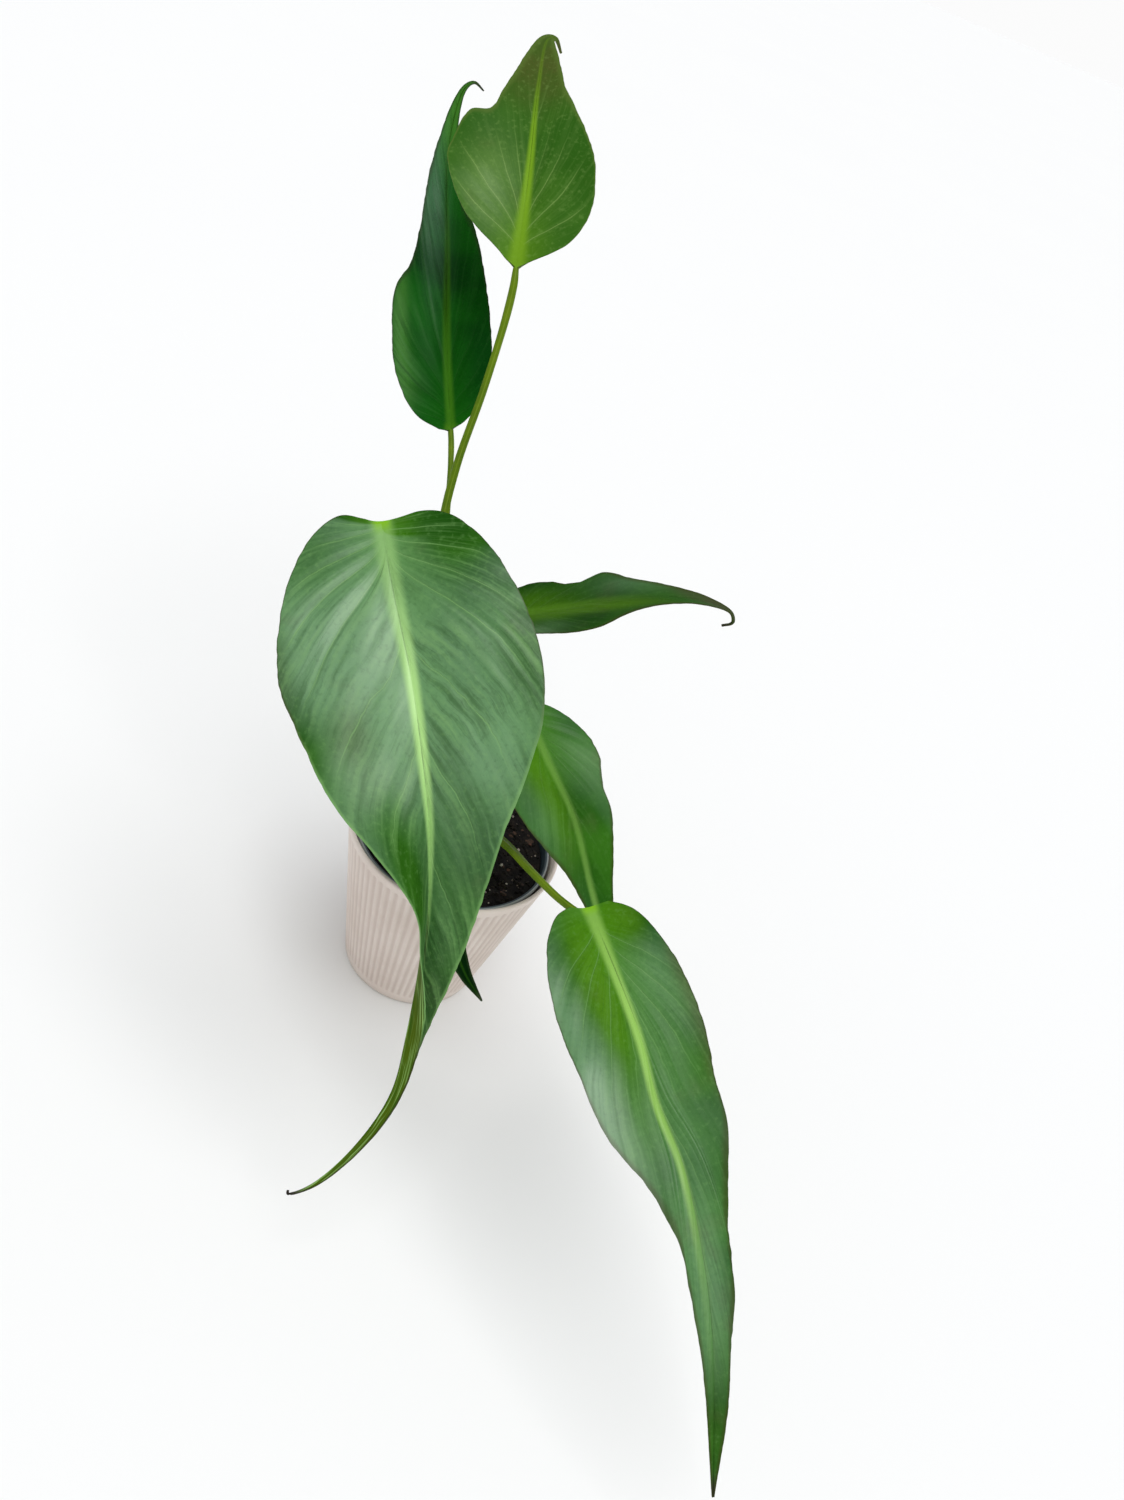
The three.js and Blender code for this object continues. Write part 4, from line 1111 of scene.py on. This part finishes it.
def nursery_plastic():
    finish = Finish("nursery_plastic", Specular_IOR_Level=0.5)
    level = finish.node("ShaderNodeVectorMath", {"operation": "MULTIPLY"}, {0: finish.place(), 1: (1, 1, 0)})
    radius = finish.node("ShaderNodeVectorMath", {"operation": "LENGTH"}, {0: level}, output=1) * 1000
    mottle = finish.grain(14)
    scuffs = finish.grain(0.9, detail=4.0)
    colour = finish.coats(
        paint(30, 46, 54),
        (mottle.fade(0.3, 0.7), paint(44, 62, 70)),
        (scuffs.fade(0.6, 0.8) * 0.2, paint(140, 150, 152)),
        # Painted highlight: the rolled lip is painted light grey.
        (radius.fade(NURSERY_RIM_RADIUS - 1.5, NURSERY_RIM_RADIUS - 0.9), paint(150, 156, 156)),
    )
    return finish.done(colour, 0.4 + scuffs * 0.2, scuffs * 0.05)


add_piece(outer_mesh, [pot_glaze()], "outer_pot")
add_piece(nursery_mesh, [nursery_plastic()], "nursery_pot")

# %% [markdown]
# The soil is a peaty mix: near-black crumbs, chips of bark and grains of pale grit.
# One noisy disc would look like tarmac and thousands of instanced crumbs wouldn't survive the export,
# so the bed is a bumpy turned form and the crumbs are real lumps joined into three meshes, one for
# each kind of grain. Their places come from a seeded draw, so every run gives the same soil.
# A lump starts as a ball of 12 corners and 20 faces, which is then squashed, dented and turned.

# %% Soil bed
LUMP_SPAN = 9


def soil_height(x, y):
    u, v = x / LUMP_SPAN, y / LUMP_SPAN
    waves = math.sin(2.1 * u + 1.3 * v) + math.sin(1.7 * v - 2.6 * u + 1) + math.sin(3.3 * v + u + 2)
    crumbs = noise.fractal(Vector((x, y, 0)) * 0.22, 0.8, 2.1, 4)
    edge = 1 - ramp((math.hypot(x, y) - 52) / 10)
    return SOIL_TOP + 0.5 * waves * edge + 1.1 * crumbs * (0.35 + 0.65 * edge)


rings = list(np.linspace(1, 62.0, 66)[::-1])
soil_profile = [[0, 7.0], [36, 7.0], [40, 9.5], [inside(60) - 0.3, 60], [62.2, 117.5]]
soil_profile += [[r, SOIL_TOP] for r in rings] + [[0, SOIL_TOP]]
soil_mesh = turned("crumbly_soil", soil_profile, 220)
for vertex in soil_mesh.vertices:
    x, y, z = (c / MM for c in vertex.co)
    if z > SOIL_TOP - 0.5:
        vertex.co.z = soil_height(x, y) * MM
print("soil bed:", len(soil_mesh.polygons), "faces")

# %% Crumbs, bark and grit
draw = np.random.default_rng(7)
golden = (1 + 5**0.5) / 2
STEM_CLEARANCE = 11
BALL = np.array([[a, b * golden, 0] for a in (-1, 1) for b in (-1, 1)])
BALL = np.concatenate([BALL, BALL[:, [2, 0, 1]], BALL[:, [1, 2, 0]]]) / math.hypot(1, golden)
BALL_FACES = []
for i in range(12):
    for j in range(i + 1, 12):
        for k in range(j + 1, 12):
            sides = [np.linalg.norm(BALL[p] - BALL[q]) for p, q in ((i, j), (j, k), (i, k))]
            if max(sides) < 1.1:
                turn = np.dot(np.cross(BALL[j] - BALL[i], BALL[k] - BALL[i]), BALL[i])
                BALL_FACES.append([i, j, k] if turn > 0 else [i, k, j])


def scatter(name, count, small, large, flatness, reach, sink=0.35):
    """Lumps of uneven shape on the soil, as one mesh."""
    spots, faces = [], []
    for n in range(count):
        size = small + (large - small) * draw.random() ** 2.2
        angle, far = draw.random() * 2 * np.pi, reach * draw.random() ** 0.5
        if far < STEM_CLEARANCE:
            far += STEM_CLEARANCE
        x, y = far * math.cos(angle), far * math.sin(angle)
        shape = np.array([1, 0.55 + 0.4 * draw.random(), flatness * (0.7 + 0.6 * draw.random())])
        lump = BALL * (1 + 0.28 * (draw.random((12, 1)) - 0.5)) * shape * size / 2
        spin = Matrix.Rotation(draw.random() * 6.28, 3, "Z")
        tilt = Matrix.Rotation(0.5 * (draw.random() - 0.5), 3, "X")
        lump = lump @ np.array(spin @ tilt).T + [x, y, soil_height(x, y) + size * flatness * (0.5 - sink)]
        faces += [[k + 12 * n for k in face] for face in BALL_FACES]
        spots.append(lump)
    mesh = build_mesh(name, np.concatenate(spots), faces, [0] * len(faces), {})
    print(name, count, "lumps")
    return mesh


crumb_mesh = scatter("peat_crumbs", 1500, 0.7, 4.2, 0.75, 60.5)
bark_mesh = scatter("bark_chips", 110, 2.5, 8.5, 0.3, 57)
grit_mesh = scatter("pale_grit", 130, 0.7, 3.0, 0.85, 58, sink=0.3)

# %% Soil finishes
def peat(name, dark, light):
    finish = Finish(name, Specular_IOR_Level=0.25)
    clods = finish.grain(5, detail=5.0)
    dust = finish.grain(0.8, detail=3.0)
    colour = finish.mix(clods.fade(0.4, 0.65), dark, light)
    return finish.done(colour, 0.8 + dust * 0.18, dust * 0.35 + clods * 0.5)


def bark():
    finish = Finish("bark", Specular_IOR_Level=0.3)
    fibre = finish.grain(1.4, stretch=(0.3, 1.6, 1.0), detail=4.0)
    colour = finish.coats(
        paint(38, 28, 22),
        (fibre.fade(0.4, 0.6), paint(74, 54, 42)),
        (finish.grain(11).fade(0.58, 0.66) * 0.5, paint(110, 66, 50)),
    )
    return finish.done(colour, 0.7 + fibre * 0.2, fibre * 0.4)


def grit():
    finish = Finish("grit", Specular_IOR_Level=0.3)
    pores = finish.grain(0.7, detail=4.0)
    colour = finish.coats(
        paint(120, 104, 92),
        (finish.grain(8).fade(0.4, 0.6), paint(186, 178, 166)),
        (pores.fade(0.5, 0.7) * 0.5, paint(96, 82, 70)),
    )
    return finish.done(colour, 0.7 + pores * 0.2, pores * 0.3)


soil_finishes = {
    soil_mesh: peat("soil_bed", paint(15, 12, 11), paint(30, 24, 20)),
    crumb_mesh: peat("crumbs", paint(14, 11, 10), paint(40, 33, 27)),
    bark_mesh: bark(),
    grit_mesh: grit(),
}
for mesh, material in soil_finishes.items():
    add_piece(mesh, [material], "soil")
print("soil dressed in", len(soil_finishes), "pieces")

# %% [markdown]
# The studio is a very large pale floor under a dim even sky that brightens towards the horizon, so
# that the floor's far edge doesn't show.
# One broad soft light stands high above the front right. It rakes across the leaves from their
# stalks, so that folds and wrinkles show, and it is wide enough to lay a veil of sheen over them.
# It is a sun lamp with a wide disc rather than a panel, because a panel would light the near floor
# more than the far floor.

# %% Studio
scene.view_settings.view_transform = "Standard"
FLOOR_HALF = 60
corners = [[-1, -1, 0], [1, -1, 0], [1, 1, 0], [-1, 1, 0]]
floor_mesh = build_mesh("floor", np.array(corners) * FLOOR_HALF / MM, [[0, 1, 2, 3]], [0], {})
floor_finish = Finish("floor_paper", Roughness=0.9, Specular_IOR_Level=0.1)
paper = floor_finish.mix(floor_finish.grain(900), paint(245, 245, 245), paint(247, 247, 246))
floor_finish.feed(Base_Color=paper)
floor_mesh.materials.append(floor_finish.material)
floor = bpy.data.objects.new("floor", floor_mesh)
scene.collection.objects.link(floor)

SKY = (0.5, 0.51, 0.52, 1)
HORIZON = (0.97, 0.97, 0.97, 1)
world = bpy.data.worlds.new("sky")
world.use_nodes = True
sky = Drawing(world.node_tree)
towards = sky.node("ShaderNodeTexCoord", {}, {}, output="Generated")
rise = sky.node("ShaderNodeSeparateXYZ", {}, {0: towards}, output=2)
blend = sky.node("ShaderNodeMapRange", {}, {"Value": rise, "From Min": 0.08, "From Max": 0.4})
sky_colour = sky.mix(blend, HORIZON, SKY)
sky.tree.links.new(sky_colour.socket, sky.tree.nodes["Background"].inputs["Color"])
scene.world = world

KEY_FROM = Vector((0.18, -0.28, 0.95))
KEY_STRENGTH = 1.8
KEY_SPREAD = math.radians(46)
key_light = bpy.data.lights.new("front_softbox", "SUN")
key_light.energy = KEY_STRENGTH
key_light.angle = KEY_SPREAD
key = bpy.data.objects.new("front_softbox", key_light)
key.location = KEY_FROM * 3
key.rotation_euler = KEY_FROM.to_track_quat("Z", "Y").to_euler()
scene.collection.objects.link(key)
print("key light", key_light.energy, "W per square metre from", [round(v, 2) for v in KEY_FROM])
